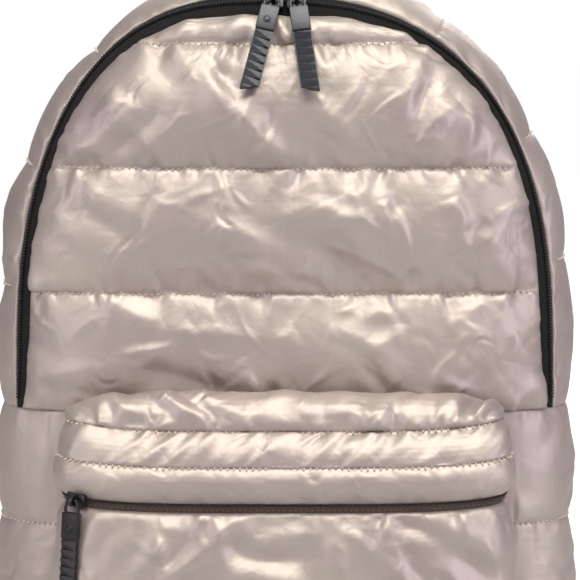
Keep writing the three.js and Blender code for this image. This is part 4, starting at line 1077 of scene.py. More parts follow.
@dataclass(frozen=True)
class PlainFinish:
    """A dark woven, moulded or metal finish with grain and slight variation."""

    name: str
    colour: tuple[float, float, float]
    roughness: float
    metallic: float = 0.0
    grain: float = 900.0
    grain_depth: float = 0.00012
    ribs: float = 0.0
    sheen: float = 0.0

    def build(self) -> bpy.types.Material:
        """Makes the material."""
        tree = NodeTree(self.name)
        place = tree.add("ShaderNodeTexCoord")
        noise = tree.add("ShaderNodeTexNoise")
        noise.inputs["Scale"].default_value = self.grain
        noise.inputs["Detail"].default_value = 3
        tree.link(place.outputs["Object"], noise.inputs["Vector"])
        wide = tree.add("ShaderNodeTexNoise")
        wide.inputs["Scale"].default_value = 60
        tree.link(place.outputs["Object"], wide.inputs["Vector"])
        tone = tree.add("ShaderNodeMix", data_type="RGBA")
        tree.link(wide.outputs["Fac"], tone.inputs["Factor"])
        tone.inputs["A"].default_value = (*(0.75 * c for c in self.colour), 1)
        tone.inputs["B"].default_value = (*(1.25 * c for c in self.colour), 1)
        height = noise.outputs["Fac"]
        if self.ribs:
            wave = tree.add("ShaderNodeTexWave", bands_direction="X")
            wave.inputs["Scale"].default_value = self.ribs
            coordinates = tree.add("ShaderNodeUVMap", uv_map="cloth")
            tree.link(coordinates.outputs["UV"], wave.inputs["Vector"])
            both = tree.add("ShaderNodeMath", operation="ADD")
            tree.link(noise.outputs["Fac"], both.inputs[0])
            tree.link(wave.outputs["Fac"], both.inputs[1])
            height = both.outputs["Value"]
        bump = tree.add("ShaderNodeBump")
        bump.inputs["Distance"].default_value = self.grain_depth
        tree.link(height, bump.inputs["Height"])
        rough = tree.add("ShaderNodeMapRange")
        tree.link(wide.outputs["Fac"], rough.inputs["Value"])
        rough.inputs["To Min"].default_value = self.roughness - 0.07
        rough.inputs["To Max"].default_value = self.roughness + 0.07
        shader = tree.shader
        tree.link(tone.outputs["Result"], shader.inputs["Base Color"])
        tree.link(rough.outputs["Result"], shader.inputs["Roughness"])
        tree.link(bump.outputs["Normal"], shader.inputs["Normal"])
        shader.inputs["Metallic"].default_value = self.metallic
        shader.inputs["Sheen Weight"].default_value = self.sheen
        return tree.material


class NodeTree:
    """A material with one Principled shader, and short calls that add and link nodes."""

    def __init__(self, name: str) -> None:
        """Makes the material.

        Args:
            name: The material's name.
        """
        self.material = bpy.data.materials.new(name)
        self.material.use_nodes = True
        self.tree = self.material.node_tree
        self.shader = self.tree.nodes["Principled BSDF"]

    def add(self, kind: str, **settings: object) -> bpy.types.Node:
        """Adds a node and sets its options."""
        return add_node(self.tree, kind, **settings)

    def link(self, source: bpy.types.NodeSocket, target: bpy.types.NodeSocket) -> None:
        """Links two sockets."""
        self.tree.links.new(source, target)

    def group(self, content: bpy.types.NodeTree, vector: bpy.types.NodeSocket, **values: float) -> bpy.types.Node:
        """Places a shared group and feeds it coordinates and values."""
        node = self.add("ShaderNodeGroup")
        node.node_tree = content
        self.link(vector, node.inputs["Vector"])
        for name, value in values.items():
            node.inputs[name].default_value = value
        return node


def add_node(tree: bpy.types.NodeTree, kind: str, **settings: object) -> bpy.types.Node:
    """Adds a node to a tree and sets its options."""
    node = tree.nodes.new(kind)
    for name, value in settings.items():
        setattr(node, name, value)
    return node


def crinkle_group() -> bpy.types.NodeTree:
    """The shared crinkle of coated nylon: fine creases, a weave and soft patches of tone."""
    found = bpy.data.node_groups.get("crinkle")
    if found is not None:
        return found
    tree = bpy.data.node_groups.new("crinkle", "ShaderNodeTree")
    tree.interface.new_socket("Vector", in_out="INPUT", socket_type="NodeSocketVector")
    tree.interface.new_socket("Scale", in_out="INPUT", socket_type="NodeSocketFloat")
    tree.interface.new_socket("Height", in_out="OUTPUT", socket_type="NodeSocketFloat")
    tree.interface.new_socket("Patch", in_out="OUTPUT", socket_type="NodeSocketFloat")
    source = add_node(tree, "NodeGroupInput")
    result = add_node(tree, "NodeGroupOutput")
    scaled = add_node(tree, "ShaderNodeVectorMath", operation="SCALE")
    tree.links.new(source.outputs["Vector"], scaled.inputs[0])
    tree.links.new(source.outputs["Scale"], scaled.inputs["Scale"])
    heights = []
    for scale, detail, distortion, weight in ((24, 2, 0.5, 1.3), (60, 2, 0.6, 0.60), (130, 2, 0.5, 0.20), (1500, 1, 0, 0.03)):
        noise = add_node(tree, "ShaderNodeTexNoise")
        noise.inputs["Scale"].default_value = scale
        noise.inputs["Detail"].default_value = detail
        noise.inputs["Distortion"].default_value = distortion
        tree.links.new(scaled.outputs["Vector"], noise.inputs["Vector"])
        centred = add_node(tree, "ShaderNodeMath", operation="SUBTRACT")
        centred.inputs[1].default_value = 0.5
        tree.links.new(noise.outputs["Fac"], centred.inputs[0])
        creased = add_node(tree, "ShaderNodeMath", operation="ABSOLUTE")
        tree.links.new(centred.outputs["Value"], creased.inputs[0])
        part = add_node(tree, "ShaderNodeMath", operation="MULTIPLY")
        part.inputs[1].default_value = weight
        tree.links.new((noise.outputs["Fac"] if scale > 1000 else creased.outputs["Value"]), part.inputs[0])
        heights.append(part.outputs["Value"])
    total = heights[0]
    for height in heights[1:]:
        both = add_node(tree, "ShaderNodeMath", operation="ADD")
        tree.links.new(total, both.inputs[0])
        tree.links.new(height, both.inputs[1])
        total = both.outputs["Value"]
    tree.links.new(total, result.inputs["Height"])
    patch = add_node(tree, "ShaderNodeTexNoise")
    patch.inputs["Scale"].default_value = 14
    patch.inputs["Detail"].default_value = 3
    tree.links.new(scaled.outputs["Vector"], patch.inputs["Vector"])
    spread = add_node(tree, "ShaderNodeMapRange")
    spread.inputs["From Min"].default_value = 0.25
    spread.inputs["From Max"].default_value = 0.75
    tree.links.new(patch.outputs["Fac"], spread.inputs["Value"])
    tree.links.new(spread.outputs["Result"], result.inputs["Patch"])
    return tree


class Finishes:
    """Every material of the bag, made once."""

    def __init__(self) -> None:
        """Makes the materials."""
        self.pearl = PearlFinish().build()
        self.tape = PlainFinish("zip_tape", (0.006, 0.006, 0.007), 0.9, grain=1200, ribs=900).build()
        # The pocket tape's dark brown is painted shade: the deep shade under the pocket's lip.
        self.pocket_tape = PlainFinish("pocket_tape", (0.095, 0.066, 0.052), 0.7, ribs=900).build()
        self.coil = PlainFinish("zip_coil", (0.018, 0.018, 0.020), 0.42).build()
        self.metal = PlainFinish("dark_metal", (0.055, 0.055, 0.062), 0.34, metallic=0.9).build()
        self.tab = PlainFinish("moulded_tab", (0.062, 0.065, 0.078), 0.31, metallic=0.5, grain=1500).build()
        # The pocket pull's tab is the same moulded material as the other tabs, darkened to paint the shade it hangs in
        # under the pocket's lip.
        self.shaded_pocket_tab = PlainFinish("shaded_pocket_tab", (0.018, 0.018, 0.021), 0.33, metallic=0.3, grain=1500).build()
        self.webbing = PlainFinish("webbing", (0.016, 0.016, 0.018), 0.8, ribs=500, grain_depth=0.0002).build()
        self.plastic = PlainFinish("lock_plastic", (0.016, 0.016, 0.018), 0.4).build()
        # The thread on the pocket's tape is a darker copy of the pale thread, painting the shade under the lip on its
        # stitches.
        self.shaded_tape_thread = PlainFinish("shaded_tape_thread", (0.26, 0.21, 0.175), 0.6, grain=2500).build()
        self.thread = PlainFinish("thread", (0.60, 0.53, 0.47), 0.55, grain=2500).build()


def clear_selection() -> None:
    """Deselects every object."""
    for other in bpy.context.view_layer.objects:
        other.select_set(False)


def activate(piece: bpy.types.Object) -> None:
    """Selects one object and makes it the active one."""
    clear_selection()
    piece.select_set(True)
    bpy.context.view_layer.objects.active = piece


def apply_modifiers(piece: bpy.types.Object) -> None:
    """Applies every modifier of an object, in order."""
    activate(piece)
    for modifier in list(piece.modifiers):
        bpy.ops.object.modifier_apply(modifier=modifier.name)


def finished(piece: bpy.types.Object, name: str, body: str, material: bpy.types.Material) -> bpy.types.Object:
    """Places a modelled object's transform in its mesh, dresses it and makes it ride.

    Args:
        piece: The object.
        name: Its final name.
        body: The body that it moves with.
        material: Its only material.

    Returns:
        The same object.
    """
    activate(piece)
    bpy.ops.object.transform_apply(location=True, rotation=True, scale=True)
    piece.name = name
    piece.data.name = name
    piece.data.materials.clear()
    piece.data.materials.append(material)
    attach(piece, body)
    LOG.info("%s: %d faces", name, len(piece.data.polygons))
    return piece


@dataclass
class Form:
    """A small modelled shape that is repeated many times in one mesh."""

    points: Array
    faces: list[list[int]]

    @classmethod
    def taken(cls, piece: bpy.types.Object) -> "Form":
        """Takes an object's mesh as a form, in metres, and removes the object."""
        activate(piece)
        bpy.ops.object.transform_apply(location=True, rotation=True, scale=True)
        points = np.array([vertex.co for vertex in piece.data.vertices])
        faces = [list(polygon.vertices) for polygon in piece.data.polygons]
        mesh = piece.data
        bpy.data.objects.remove(piece)
        bpy.data.meshes.remove(mesh)
        return cls(points, faces)

    def scattered(self, name: str, origins: Array, frames: Array) -> bpy.types.Object:
        """Copies the form to many places in one mesh.

        Args:
            name: The new object's name.
            origins: Places in millimetres.
            frames: One 3 by 3 matrix for each place, whose columns are the form's axes.

        Returns:
            The object.
        """
        points = np.einsum("nij,kj->nki", frames, self.points) / MM + origins[:, None]
        count = len(self.points)
        faces = [[corner + count * copy for corner in face] for copy in range(len(origins)) for face in self.faces]
        made = new_object(name, points.reshape(-1, 3), faces)
        made.data.polygons.foreach_set("use_smooth", np.ones(len(faces), bool))
        return made


def frames_along(line: Array, normals: Array, pitch: float, start: float = 0.0) -> tuple[Array, Array]:
    """Evenly spaced places on a line, with axes along it, across it and out of the surface.

    Args:
        line: Points of the line.
        normals: The surface's normal at each point.
        pitch: Distance between places.
        start: Distance of the first place from the line's start.

    Returns:
        The places and their 3 by 3 frames, with columns along, across and outwards.
    """
    length = np.concatenate([[0], np.cumsum(np.linalg.norm(np.diff(line, axis=0), axis=1))])
    stops = np.arange(start + pitch / 2, length[-1] - pitch / 2, pitch)
    at = np.stack([np.interp(stops, length, line[:, axis]) for axis in range(3)], -1)
    ahead = np.stack([np.interp(stops + 0.5, length, line[:, axis]) for axis in range(3)], -1)
    behind = np.stack([np.interp(stops - 0.5, length, line[:, axis]) for axis in range(3)], -1)
    out = unit(np.stack([np.interp(stops, length, normals[:, axis]) for axis in range(3)], -1))
    along = unit(ahead - behind)
    across = unit(np.cross(out, along))
    out = np.cross(along, across)
    return at, np.stack([along, across, out], -1)


@dataclass
class Stitching:
    """Rows of thread stitches along the seams."""

    length: float = 2.8
    pitch: float = 3.1
    thick: float = 0.9

    def form(self) -> Form:
        """One stitch: a rounded bead of thread, longest along X."""
        clear_selection()
        bpy.ops.mesh.primitive_uv_sphere_add(segments=8, ring_count=5, radius=0.5)
        bead = bpy.context.object
        bead.scale = (self.length * MM, self.thick * MM, self.thick * MM)
        bpy.ops.object.mode_set(mode="EDIT")
        bpy.ops.mesh.select_all(action="SELECT")
        bpy.ops.transform.rotate(value=math.pi / 2, orient_axis="Y", center_override=(0, 0, 0))
        bpy.ops.object.mode_set(mode="OBJECT")
        return Form.taken(bead)

    def build(self, name: str, lines: Sequence[tuple[Array, Array]], thread: bpy.types.Material, lift: float = 0.35) -> None:
        """Sews some lines.

        Args:
            name: The piece's name.
            lines: Points and normals of each line.
            thread: The thread's material.
            lift: How far the stitches' middle stands off the fabric.
        """
        form = self.form()
        places, frames = [], []
        for line, normals in lines:
            line, normals = line[4:-4], normals[4:-4]
            at, axes = frames_along(line + normals * lift, normals, self.pitch)
            places.append(at)
            frames.append(axes)
        made = form.scattered(name, np.concatenate(places), np.concatenate(frames))
        made.data.materials.append(thread)
        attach(made, "bag")
        LOG.info("%s: %d stitches", name, sum(len(p) for p in places))


def strip(name: str, stations: Array, sides: Array, widths: Array, thicks: Array, corners: int, power: float) -> bpy.types.Object:
    """A closed strip swept through stations, with a rounded section.

    Args:
        name: The object's name.
        stations: Centres.
        sides: Direction of each section's width.
        widths: Width at each station.
        thicks: Thickness at each station.
        corners: Points of the section.
        power: Squareness of the section, 2 for an ellipse and more for flatter faces.

    Returns:
        The object, with a UV map in metres across and along the strip.
    """
    tangent = unit(np.gradient(stations, axis=0))
    side = unit(sides - tangent * np.sum(sides * tangent, -1, keepdims=True))
    normal = np.cross(tangent, side)
    angle = 2 * math.pi * np.arange(corners) / corners
    across = np.sign(np.cos(angle)) * np.abs(np.cos(angle)) ** (2 / power) / 2
    up = np.sign(np.sin(angle)) * np.abs(np.sin(angle)) ** (2 / power) / 2
    points = (
        stations[:, None]
        + side[:, None] * (across[None] * widths[:, None])[..., None]
        + normal[:, None] * (up[None] * thicks[:, None])[..., None]
    )
    count = len(stations)
    faces = []
    for ring in range(count - 1):
        for corner in range(corners):
            a, b = ring * corners + corner, ring * corners + (corner + 1) % corners
            faces.append([a, b, b + corners, a + corners])
    faces.append(list(range(corners))[::-1])
    faces.append([(count - 1) * corners + corner for corner in range(corners)])
    made = new_object(name, points.reshape(-1, 3), faces)
    length = np.concatenate([[0], np.cumsum(np.linalg.norm(np.diff(stations, axis=0), axis=1))])
    flat = np.stack([(across[None] * widths[:, None]), length[:, None] + 0 * across[None]], -1).reshape(-1, 2) * MM
    loops = np.empty(len(made.data.loops), np.int32)
    made.data.loops.foreach_get("vertex_index", loops)
    made.data.uv_layers.new(name="cloth").data.foreach_set("uv", flat[loops].astype(np.float32).ravel())
    made.data.polygons.foreach_set("use_smooth", np.ones(len(faces), bool))
    return made


@dataclass
class MainZipper:
    """The main zipper: its tape and its coil."""

    tape_out: float = 0.4
    tape_in: float = 1.0
    coil_place: float = 0.55
    coil_lift: float = 1.3
    pitch: float = 1.55
    gap: float = 0.3

    def tape_point(self, shares: Array, v: Array) -> Array:
        """Points of the tape's stitched surface, v from 0 at the inner edge to 1."""
        inner, outer = ZIP.depth(shares, Edge.INNER), ZIP.depth(shares, Edge.OUTER)
        return BODY.arch_point(shares, inner + (outer - inner) * v)

    def tape(self, material: bpy.types.Material) -> None:
        """Makes the woven tape."""
        shares = np.linspace(0, 1, 401)
        grid = np.stack([self.tape_point(shares, np.full(401, v)) for v in np.linspace(-0.16, 1.16, 9)])
        normals = grid_normals(grid)
        across = np.linspace(0, 1, 9)[:, None]
        out = self.tape_out - 0.9 * np.abs(2 * across - 1) ** 3
        panel = Panel("main_zip_tape_cloth", "main_zip_tape", "zip_tape", grid, out, held_mask(grid.shape[:2]))
        made = panel.closed(grid + normals * out[..., None], grid - normals * self.tape_in)
        made.data.materials.append(material)
        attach(made, "bag")
        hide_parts("main_zip_tape")
        LOG.info("main_zip_tape_cloth made")

    def coil(self, material: bpy.types.Material) -> None:
        """Makes the coil, one looped tooth at a time."""
        shares = np.linspace(0.008, 0.992, 1601)
        line = self.tape_point(shares, np.full(1601, self.coil_place))
        inner = self.tape_point(shares, np.zeros(1601))
        outer = self.tape_point(shares, np.ones(1601))
        normals = unit(np.cross(unit(np.gradient(line, axis=0)), unit(outer - inner)))
        at, axes = frames_along(line + normals * self.coil_lift, normals, self.pitch)
        made = coil_tooth(1.25, 3.2, 1.5).scattered("main_zip_coil_teeth", at, axes)
        made.data.materials.append(material)
        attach(made, "bag")
        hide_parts("main_zip_coil")
        LOG.info("main_zip_coil_teeth: %d teeth", len(at))


def coil_tooth(length: float, width: float, height: float) -> Form:
    """One turn of a zipper's coil: a flattened ring seen as a bead across the tape.

    Args:
        length: Its size along the zipper.
        width: Its size across the zipper.
        height: Its height over the tape.

    Returns:
        The form.
    """
    clear_selection()
    bpy.ops.mesh.primitive_uv_sphere_add(segments=8, ring_count=6, radius=0.5)
    tooth = bpy.context.object
    tooth.scale = (length * MM, width * MM, height * MM)
    bpy.ops.object.mode_set(mode="EDIT")
    bpy.ops.mesh.select_all(action="SELECT")
    bpy.ops.transform.rotate(value=math.pi / 2, orient_axis="X", center_override=(0, 0, 0))
    bpy.ops.object.mode_set(mode="OBJECT")
    return Form.taken(tooth)


@dataclass
class PocketZipper:
    """The pocket's zipper: its tape, coloured a dark brown that paints the deep shade under the lip, and its coil."""

    pocket: Pocket
    lift: float = 0.4
    pitch: float = 1.4

    def line(self, degrees: Array, share: float) -> Array:
        """Points along the zipper, share from 0 at its lower edge to 1."""
        low, high = self.pocket.face[4], self.pocket.lip[0]
        mix = 0.02 + 0.98 * share
        values = [getattr(low, k) + (getattr(high, k) - getattr(low, k)) * mix for k in ("height", "width", "front")]
        return self.pocket.point(degrees, *(np.full(len(degrees), value) for value in values))

    def sewn_line(self) -> tuple[Array, Array]:
        """Points and normals of the row of stitches along the tape."""
        points = self.line(self.pocket.angles(201)[6:-6], 0.3)
        return points, unit(np.cross(unit(np.gradient(points, axis=0)), np.array([0, 0, 1.0])))

    def build(self, tape: bpy.types.Material, coil: bpy.types.Material) -> None:
        """Makes the tape and the coil."""
        degrees = self.pocket.angles(201)
        grid = np.stack([self.line(degrees, share) for share in np.linspace(0, 1, 9)])
        normals = grid_normals(grid)
        panel = Panel("pocket_zip_tape_cloth", "pocket_zip_tape", "pocket_tape", grid, 0 * grid[..., 0], held_mask(grid.shape[:2]))
        made = panel.closed(grid + normals * 0.4, grid - normals)
        made.data.materials.append(tape)
        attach(made, "bag")
        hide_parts("pocket_zip_tape")
        along = degrees[8:-8]
        middle = self.line(along, 0.8)
        out = unit(np.cross(unit(np.gradient(middle, axis=0)), np.array([0, 0, 1.0])))
        at, axes = frames_along(middle + out * self.lift, out, self.pitch)
        teeth = coil_tooth(1.2, 1.8, 1.3).scattered("pocket_zip_coil_teeth", at, axes)
        teeth.data.materials.append(coil)
        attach(teeth, "bag")
        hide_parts("pocket_zip_coil")
        LOG.info("pocket zipper: %d teeth", len(at))


def smoothed_copy(node: str, name: str, bevel: float, material: bpy.types.Material) -> bpy.types.Object:
    """A copy of a hard CAD node with its edges rounded, standing for it.

    Args:
        node: The CAD node.
        name: The copy's name.
        bevel: Radius of its edges.
        material: Its material.

    Returns:
        The copy.
    """
    source = frame["nodes"][node]
    body = source["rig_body"]
    copy = bpy.data.objects.new(name, source.data.copy())
    bpy.context.scene.collection.objects.link(copy)
    activate(copy)
    bpy.ops.object.mode_set(mode="EDIT")
    bpy.ops.mesh.select_all(action="SELECT")
    bpy.ops.mesh.remove_doubles(threshold=1e-6)
    bpy.ops.mesh.dissolve_limited(angle_limit=math.radians(1))
    bpy.ops.object.mode_set(mode="OBJECT")
    edge = copy.modifiers.new("edge", "BEVEL")
    edge.width = bevel * MM
    edge.segments = 3
    edge.limit_method = "ANGLE"
    edge.angle_limit = math.radians(25)
    edge.harden_normals = False
    apply_modifiers(copy)
    bpy.ops.object.shade_smooth_by_angle(angle=math.radians(35))
    finished(copy, name, body, material)
    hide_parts(node)
    return copy


@dataclass
class Pull:
    """One pull: its slider, its ring and its moulded tab."""

    which: str
    low_corner: int
    riveted: bool
    width: float = 9.4
    thickness: float = 3.2
    length: float = 46.5
    fold: float = 13.0
    slant: float = 3.2
    pitch: float = 4.3
    tooth: float = 1.5

    def placed(self) -> Matrix:
        """The tab's own frame: X across it, Z up it and its face towards -Y."""
        joint = next(j for j in frame["joints"] if j["name"] == f"pull_{self.which}_swing")
        origin = Vector(joint["pos_m"])
        points = np.array([v.co for v in frame["nodes"][f"pull_tab_{self.which}"].data.vertices])
        middle = points - points.mean(0)
        _, _, axes = np.linalg.svd(middle, full_matrices=False)
        up = Vector(axes[0])
        up = up if up.z > 0 else -up
        across = Vector(axes[1])
        across = across if across.x > 0 else -across
        across = (across - up * across.dot(up)).normalized()
        back = up.cross(across)
        turn = Matrix((across, back, up)).transposed().to_4x4()
        return Matrix.Translation(origin) @ turn

    def rows(self) -> tuple[float, float, float]:
        """Heights of the tab's top, of its groove and of its tip, from the hinge line."""
        bar = 1.4 - 9.0
        hole = 0.7 + 0.3
        top = bar + hole + (self.thickness - 2 * hole) / 2 + 0.2
        return top, top - self.fold, top - self.length

    def relief(self) -> bpy.types.Object:
        """One row of the moulded relief: a bar whose face is creased from corner to corner."""
        half, tall = self.width / 2 - 0.55, self.pitch * 0.94
        clear_selection()
        bpy.ops.mesh.primitive_cube_add(size=1)
        row = bpy.context.object
        row.scale = (2 * half * MM, self.tooth * MM, tall * MM)
        bpy.ops.object.transform_apply(scale=True)
        mesh = bmesh.new()
        mesh.from_mesh(row.data)
        if self.low_corner > 0:
            right = [e for e in mesh.edges if all(v.co.y < 0 < v.co.x for v in e.verts)]
            bmesh.ops.subdivide_edges(mesh, edges=right, cuts=1)
        face = [v for v in mesh.verts if v.co.y < 0]
        ridge = [v for v in face if v.co.x * v.co.z < 0]
        if self.low_corner > 0:
            ridge = [v for v in face if v.co.x < 0 < v.co.z or abs(v.co.z) < 1e-5]
        for vertex in face:
            if vertex not in ridge:
                vertex.co.y = 0.35 * self.tooth * MM
        bmesh.ops.connect_verts(mesh, verts=ridge)
        bmesh.ops.recalc_face_normals(mesh, faces=mesh.faces)
        mesh.to_mesh(row.data)
        mesh.free()
        return row

    def tab(self, material: bpy.types.Material) -> bpy.types.Object:
        """Makes the tab: a plain folded top and rows of relief down to its slanted tip."""
        top, groove, tip = self.rows()
        core = self.thickness / 2 - self.tooth * 0.75
        pieces = []
        for low, high, half_thick, inset in ((groove, top, self.thickness / 2, 0.0), (tip, groove + 0.4, core, 0.1)):
            clear_selection()
            bpy.ops.mesh.primitive_cube_add(size=1)
            block = bpy.context.object
            block.location = (0, 0, (low + high) / 2 * MM)
            block.scale = ((self.width - 2 * inset) * MM, 2 * half_thick * MM, (high - low) * MM)
            bpy.ops.object.transform_apply(location=True, scale=True)
            edge = block.modifiers.new("edge", "BEVEL")
            edge.width = (0.55 if low == groove else 0.3) * MM
            edge.segments = 3
            apply_modifiers(block)
            pieces.append(block)
        z = groove - 1.0 - self.pitch / 2
        while z + self.pitch / 2 > tip:
            for side in (1, -1):
                row = self.relief()
                depth = (core + self.tooth * 0.38) * MM
                row.location = (0, -side * depth, z * MM)
                if side < 0:
                    row.rotation_euler = (0, 0, math.pi)
                bpy.ops.object.transform_apply(location=True, rotation=True)
                pieces.append(row)
            z -= self.pitch
        if self.riveted:
            clear_selection()
            bpy.ops.mesh.primitive_uv_sphere_add(segments=24, ring_count=12, radius=1.9 * MM)
            rivet = bpy.context.object
            rivet.scale = (1, 0.45, 1)
            rivet.location = (0, -self.thickness / 2 * MM, (top - self.fold * 0.6) * MM)
            bpy.ops.object.transform_apply(location=True, scale=True)
            bpy.ops.object.shade_smooth()
            pieces.append(rivet)
        clear_selection()
        for piece in pieces:
            piece.select_set(True)
        bpy.context.view_layer.objects.active = pieces[0]
        bpy.ops.object.join()
        tab = bpy.context.object
        bpy.ops.object.mode_set(mode="EDIT")
        bpy.ops.mesh.select_all(action="SELECT")
        slope = self.slant * self.low_corner / self.width
        bpy.ops.mesh.bisect(
            plane_co=(0, 0, (tip + self.slant / 2) * MM), plane_no=(-slope, 0, -1), use_fill=True, clear_outer=True,
        )
        bpy.ops.object.mode_set(mode="OBJECT")
        bpy.ops.object.shade_smooth_by_angle(angle=math.radians(25))
        tab.matrix_world = self.placed()
        finished(tab, f"pull_tab_{self.which}_moulded", f"pull_{self.which}", material)
        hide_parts(f"pull_tab_{self.which}")
        return tab

    def build(self, finishes: Finishes) -> None:
        """Makes the slider, the ring and the tab."""
        smoothed_copy(f"slider_{self.which}", f"slider_{self.which}_body", 0.35, finishes.metal)
        smoothed_copy(f"pull_ring_{self.which}", f"pull_ring_{self.which}_wire", 0.45, finishes.metal)
        # The pocket pull takes the darker copy of the tab material, which paints the lip's shade on it.
        self.tab(finishes.shaded_pocket_tab if self.which == "pocket" else finishes.tab)


@dataclass(frozen=True)
class StrapStation:
    """One station of a shoulder strap, in shares of its sizes."""

    drop: float
    out: float
    off: float
    width: float
    thickness: float


@dataclass
class Harness:
    """What the wearer holds: shoulder straps, ladder locks, webbing and haul loop."""

    back: BackPanel
    width: float = 64.0
    thickness: float = 11.0
    top: float = 372.0
    end: float = 112.0
    stand_off: float = 32.0
    top_spread: float = 38.0
    end_spread: float = 86.0
    gap: float = 0.3
    lock_length: float = 26.0
    lock_thickness: float = 4.0
    lock_bar: float = 4.0
    lock_gap: float = 0.7
    webbing_width: float = 25.0
    webbing_thickness: float = 1.6
    tail: float = 52.0
    sewn: float = 10.0
    anchor_spread: float = 108.0
    anchor_height: float = 34.0
    loop_span: float = 70.0
    course: tuple[StrapStation, ...] = (
        StrapStation(0, 0, 0, 0.80, 0.30), StrapStation(0.06, 0.06, 0.22, 0.88, 0.80),
        StrapStation(0.25, 0.38, 0.80, 0.98, 1), StrapStation(0.50, 0.74, 1, 1, 1),
        StrapStation(0.76, 0.94, 0.72, 0.86, 0.95), StrapStation(0.94, 1, 0.36, 0.55, 0.62),
        StrapStation(1, 1, 0.30, 0.40, 0.26),
    )

    def outside(self, x: Array, z: Array) -> Array:
        """Depth of the back panel's outside."""
        padding = 1.2 + 3.0 * (self.back.padding(x, z) - SEAM_DEPTH) / self.back.puff
        return BODY.face_y(x, z, Face.BACK) + padding

    def strap_centre(self, side: int, row: StrapStation) -> Array:
        """Centre of a strap at one station."""
        z = self.top + (self.end - self.top) * row.drop
        x = side * (self.top_spread + (self.end_spread - self.top_spread) * row.out)
        seat = self.gap + self.thickness * row.thickness / 2
        y = float(self.outside(np.array(abs(x)), np.array(z))) + seat + row.off * self.stand_off
        return np.array([x, y, z])

    def strap(self, side: int, word: str, finishes: Finishes) -> None:
        """Makes one padded strap with a bound edge and rows of stitches."""
        knots = np.array([self.strap_centre(side, row) for row in self.course])
        t = np.linspace(0, len(knots) - 1, 145)
        centres = smooth_through(knots, t)
        table = np.array([[row.width, row.thickness] for row in self.course])
        widths = smooth_through(np.column_stack([table, table[:, 0]]), t)[:, :2]
        sides = np.tile([1.0, 0, 0], (len(t), 1))
        body = strip(
            f"strap_{word}_padding", centres, sides, self.width * widths[:, 0] - 3.0,
            self.thickness * widths[:, 1], 48, 3.2,
        )
        body.data.materials.append(finishes.pearl)
        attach(body, "bag")
        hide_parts(f"strap_{word}")
        lines = []
        for edge in (-1, 1):
            offset = edge * (self.width * widths[:, 0] / 2 - 1.6)
            binding = centres + offset[:, None] * sides
            piece = strip(
                f"strap_{word}_binding_{'inner' if edge * side < 0 else 'outer'}", binding, sides,
                np.full(len(t), 3.0), np.minimum(2.4, self.thickness * widths[:, 1]), 12, 2.4,
            )
            piece.data.materials.append(finishes.webbing)
            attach(piece, "bag")
            row = offset - edge * 3.2
            face = np.cross(unit(np.gradient(centres, axis=0)), sides)
            face = face * np.where(face[:, 1:2] > 0, 1, -1)
            outer = centres + row[:, None] * sides + face * (self.thickness * widths[:, 1:2] * 0.46)
            lines.append((outer[6:-6], face[6:-6]))
        Stitching().build(f"strap_{word}_stitches", lines, finishes.thread, 0.3)
        LOG.info("strap_%s made", word)

    def lock_centre(self, side: int) -> Array:
        """Centre of a ladder lock."""
        end = self.strap_centre(side, self.course[-1])
        return end - np.array([0, 0, self.lock_gap + self.lock_length / 2])

    def webbing(self, side: int, word: str, finishes: Finishes) -> None:
        """Makes the webbing: sewn at the bag's corner, up round the lock's lower bar and down."""
        lock = self.lock_centre(side)
        bar = lock[2] - self.lock_length / 2 + self.lock_bar / 2
        bend = self.gap * 2 + self.webbing_thickness / 2
        away = self.lock_thickness / 2 + bend
        x = side * self.anchor_spread
        inner = self.anchor_spread - self.webbing_width / 2
        y = float(self.outside(np.array(inner), np.array(self.anchor_height))) + self.gap + self.webbing_thickness / 2
        anchor = np.array([x, y, self.anchor_height])
        points = [anchor - [0, 0, self.sewn], anchor, (anchor + [lock[0], lock[1] - away, bar]) / 2]
        points.append(np.array([lock[0], lock[1] - away, bar - self.sewn]))
        for place, first in ((-1, 180), (1, 90)):
            for degrees in range(first, first - 91, -15):
                turn = math.radians(degrees)
                cy = lock[1] + place * self.lock_thickness / 2 + bend * math.cos(turn)
                points.append(np.array([lock[0], cy, bar + self.lock_bar / 2 + bend * math.sin(turn)]))
        points.append(np.array([lock[0], lock[1] + away, bar - self.sewn]))
        points.append(np.array([lock[0], lock[1] + away + 3, bar - self.tail * 0.6]))
        points.append(np.array([lock[0], lock[1] + away + 2.1, bar - self.tail]))
        line = denser(np.array(points), 1.2)
        sides = np.tile([1.0, 0, 0], (len(line), 1))
        made = strip(
            f"webbing_{word}_woven", line, sides, np.full(len(line), self.webbing_width),
            np.full(len(line), self.webbing_thickness), 24, 8,
        )
        made.data.materials.append(finishes.webbing)
        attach(made, "bag")
        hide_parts(f"webbing_{word}")
        end = self.strap_centre(side, self.course[-1])
        upper = lock[2] + self.lock_length / 2 - self.lock_bar
        front, rear = end[1] - self.lock_thickness / 2 - 1.3, end[1] + self.lock_thickness / 2 + 1.3
        turns = [(front, end[2] + 14), (front, upper + 1), (front + 0.8, upper - 1.0), (end[1], upper - 1.5),
                 (rear - 0.8, upper - 1.0), (rear, upper + 1), (rear, end[2] + 14)]
        loop = denser(np.array([[end[0], ly, lz] for ly, lz in turns]), 0.8)
        holder = strip(
            f"strap_{word}_end_loop", loop, np.tile([1.0, 0, 0], (len(loop), 1)), np.full(len(loop), 23.0),
            np.full(len(loop), 1.3), 20, 8,
        )
        holder.data.materials.append(finishes.webbing)
        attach(holder, "bag")
        smoothed_copy(f"ladder_lock_{word}", f"ladder_lock_{word}_frame", 0.8, finishes.plastic)
        LOG.info("webbing_%s made", word)

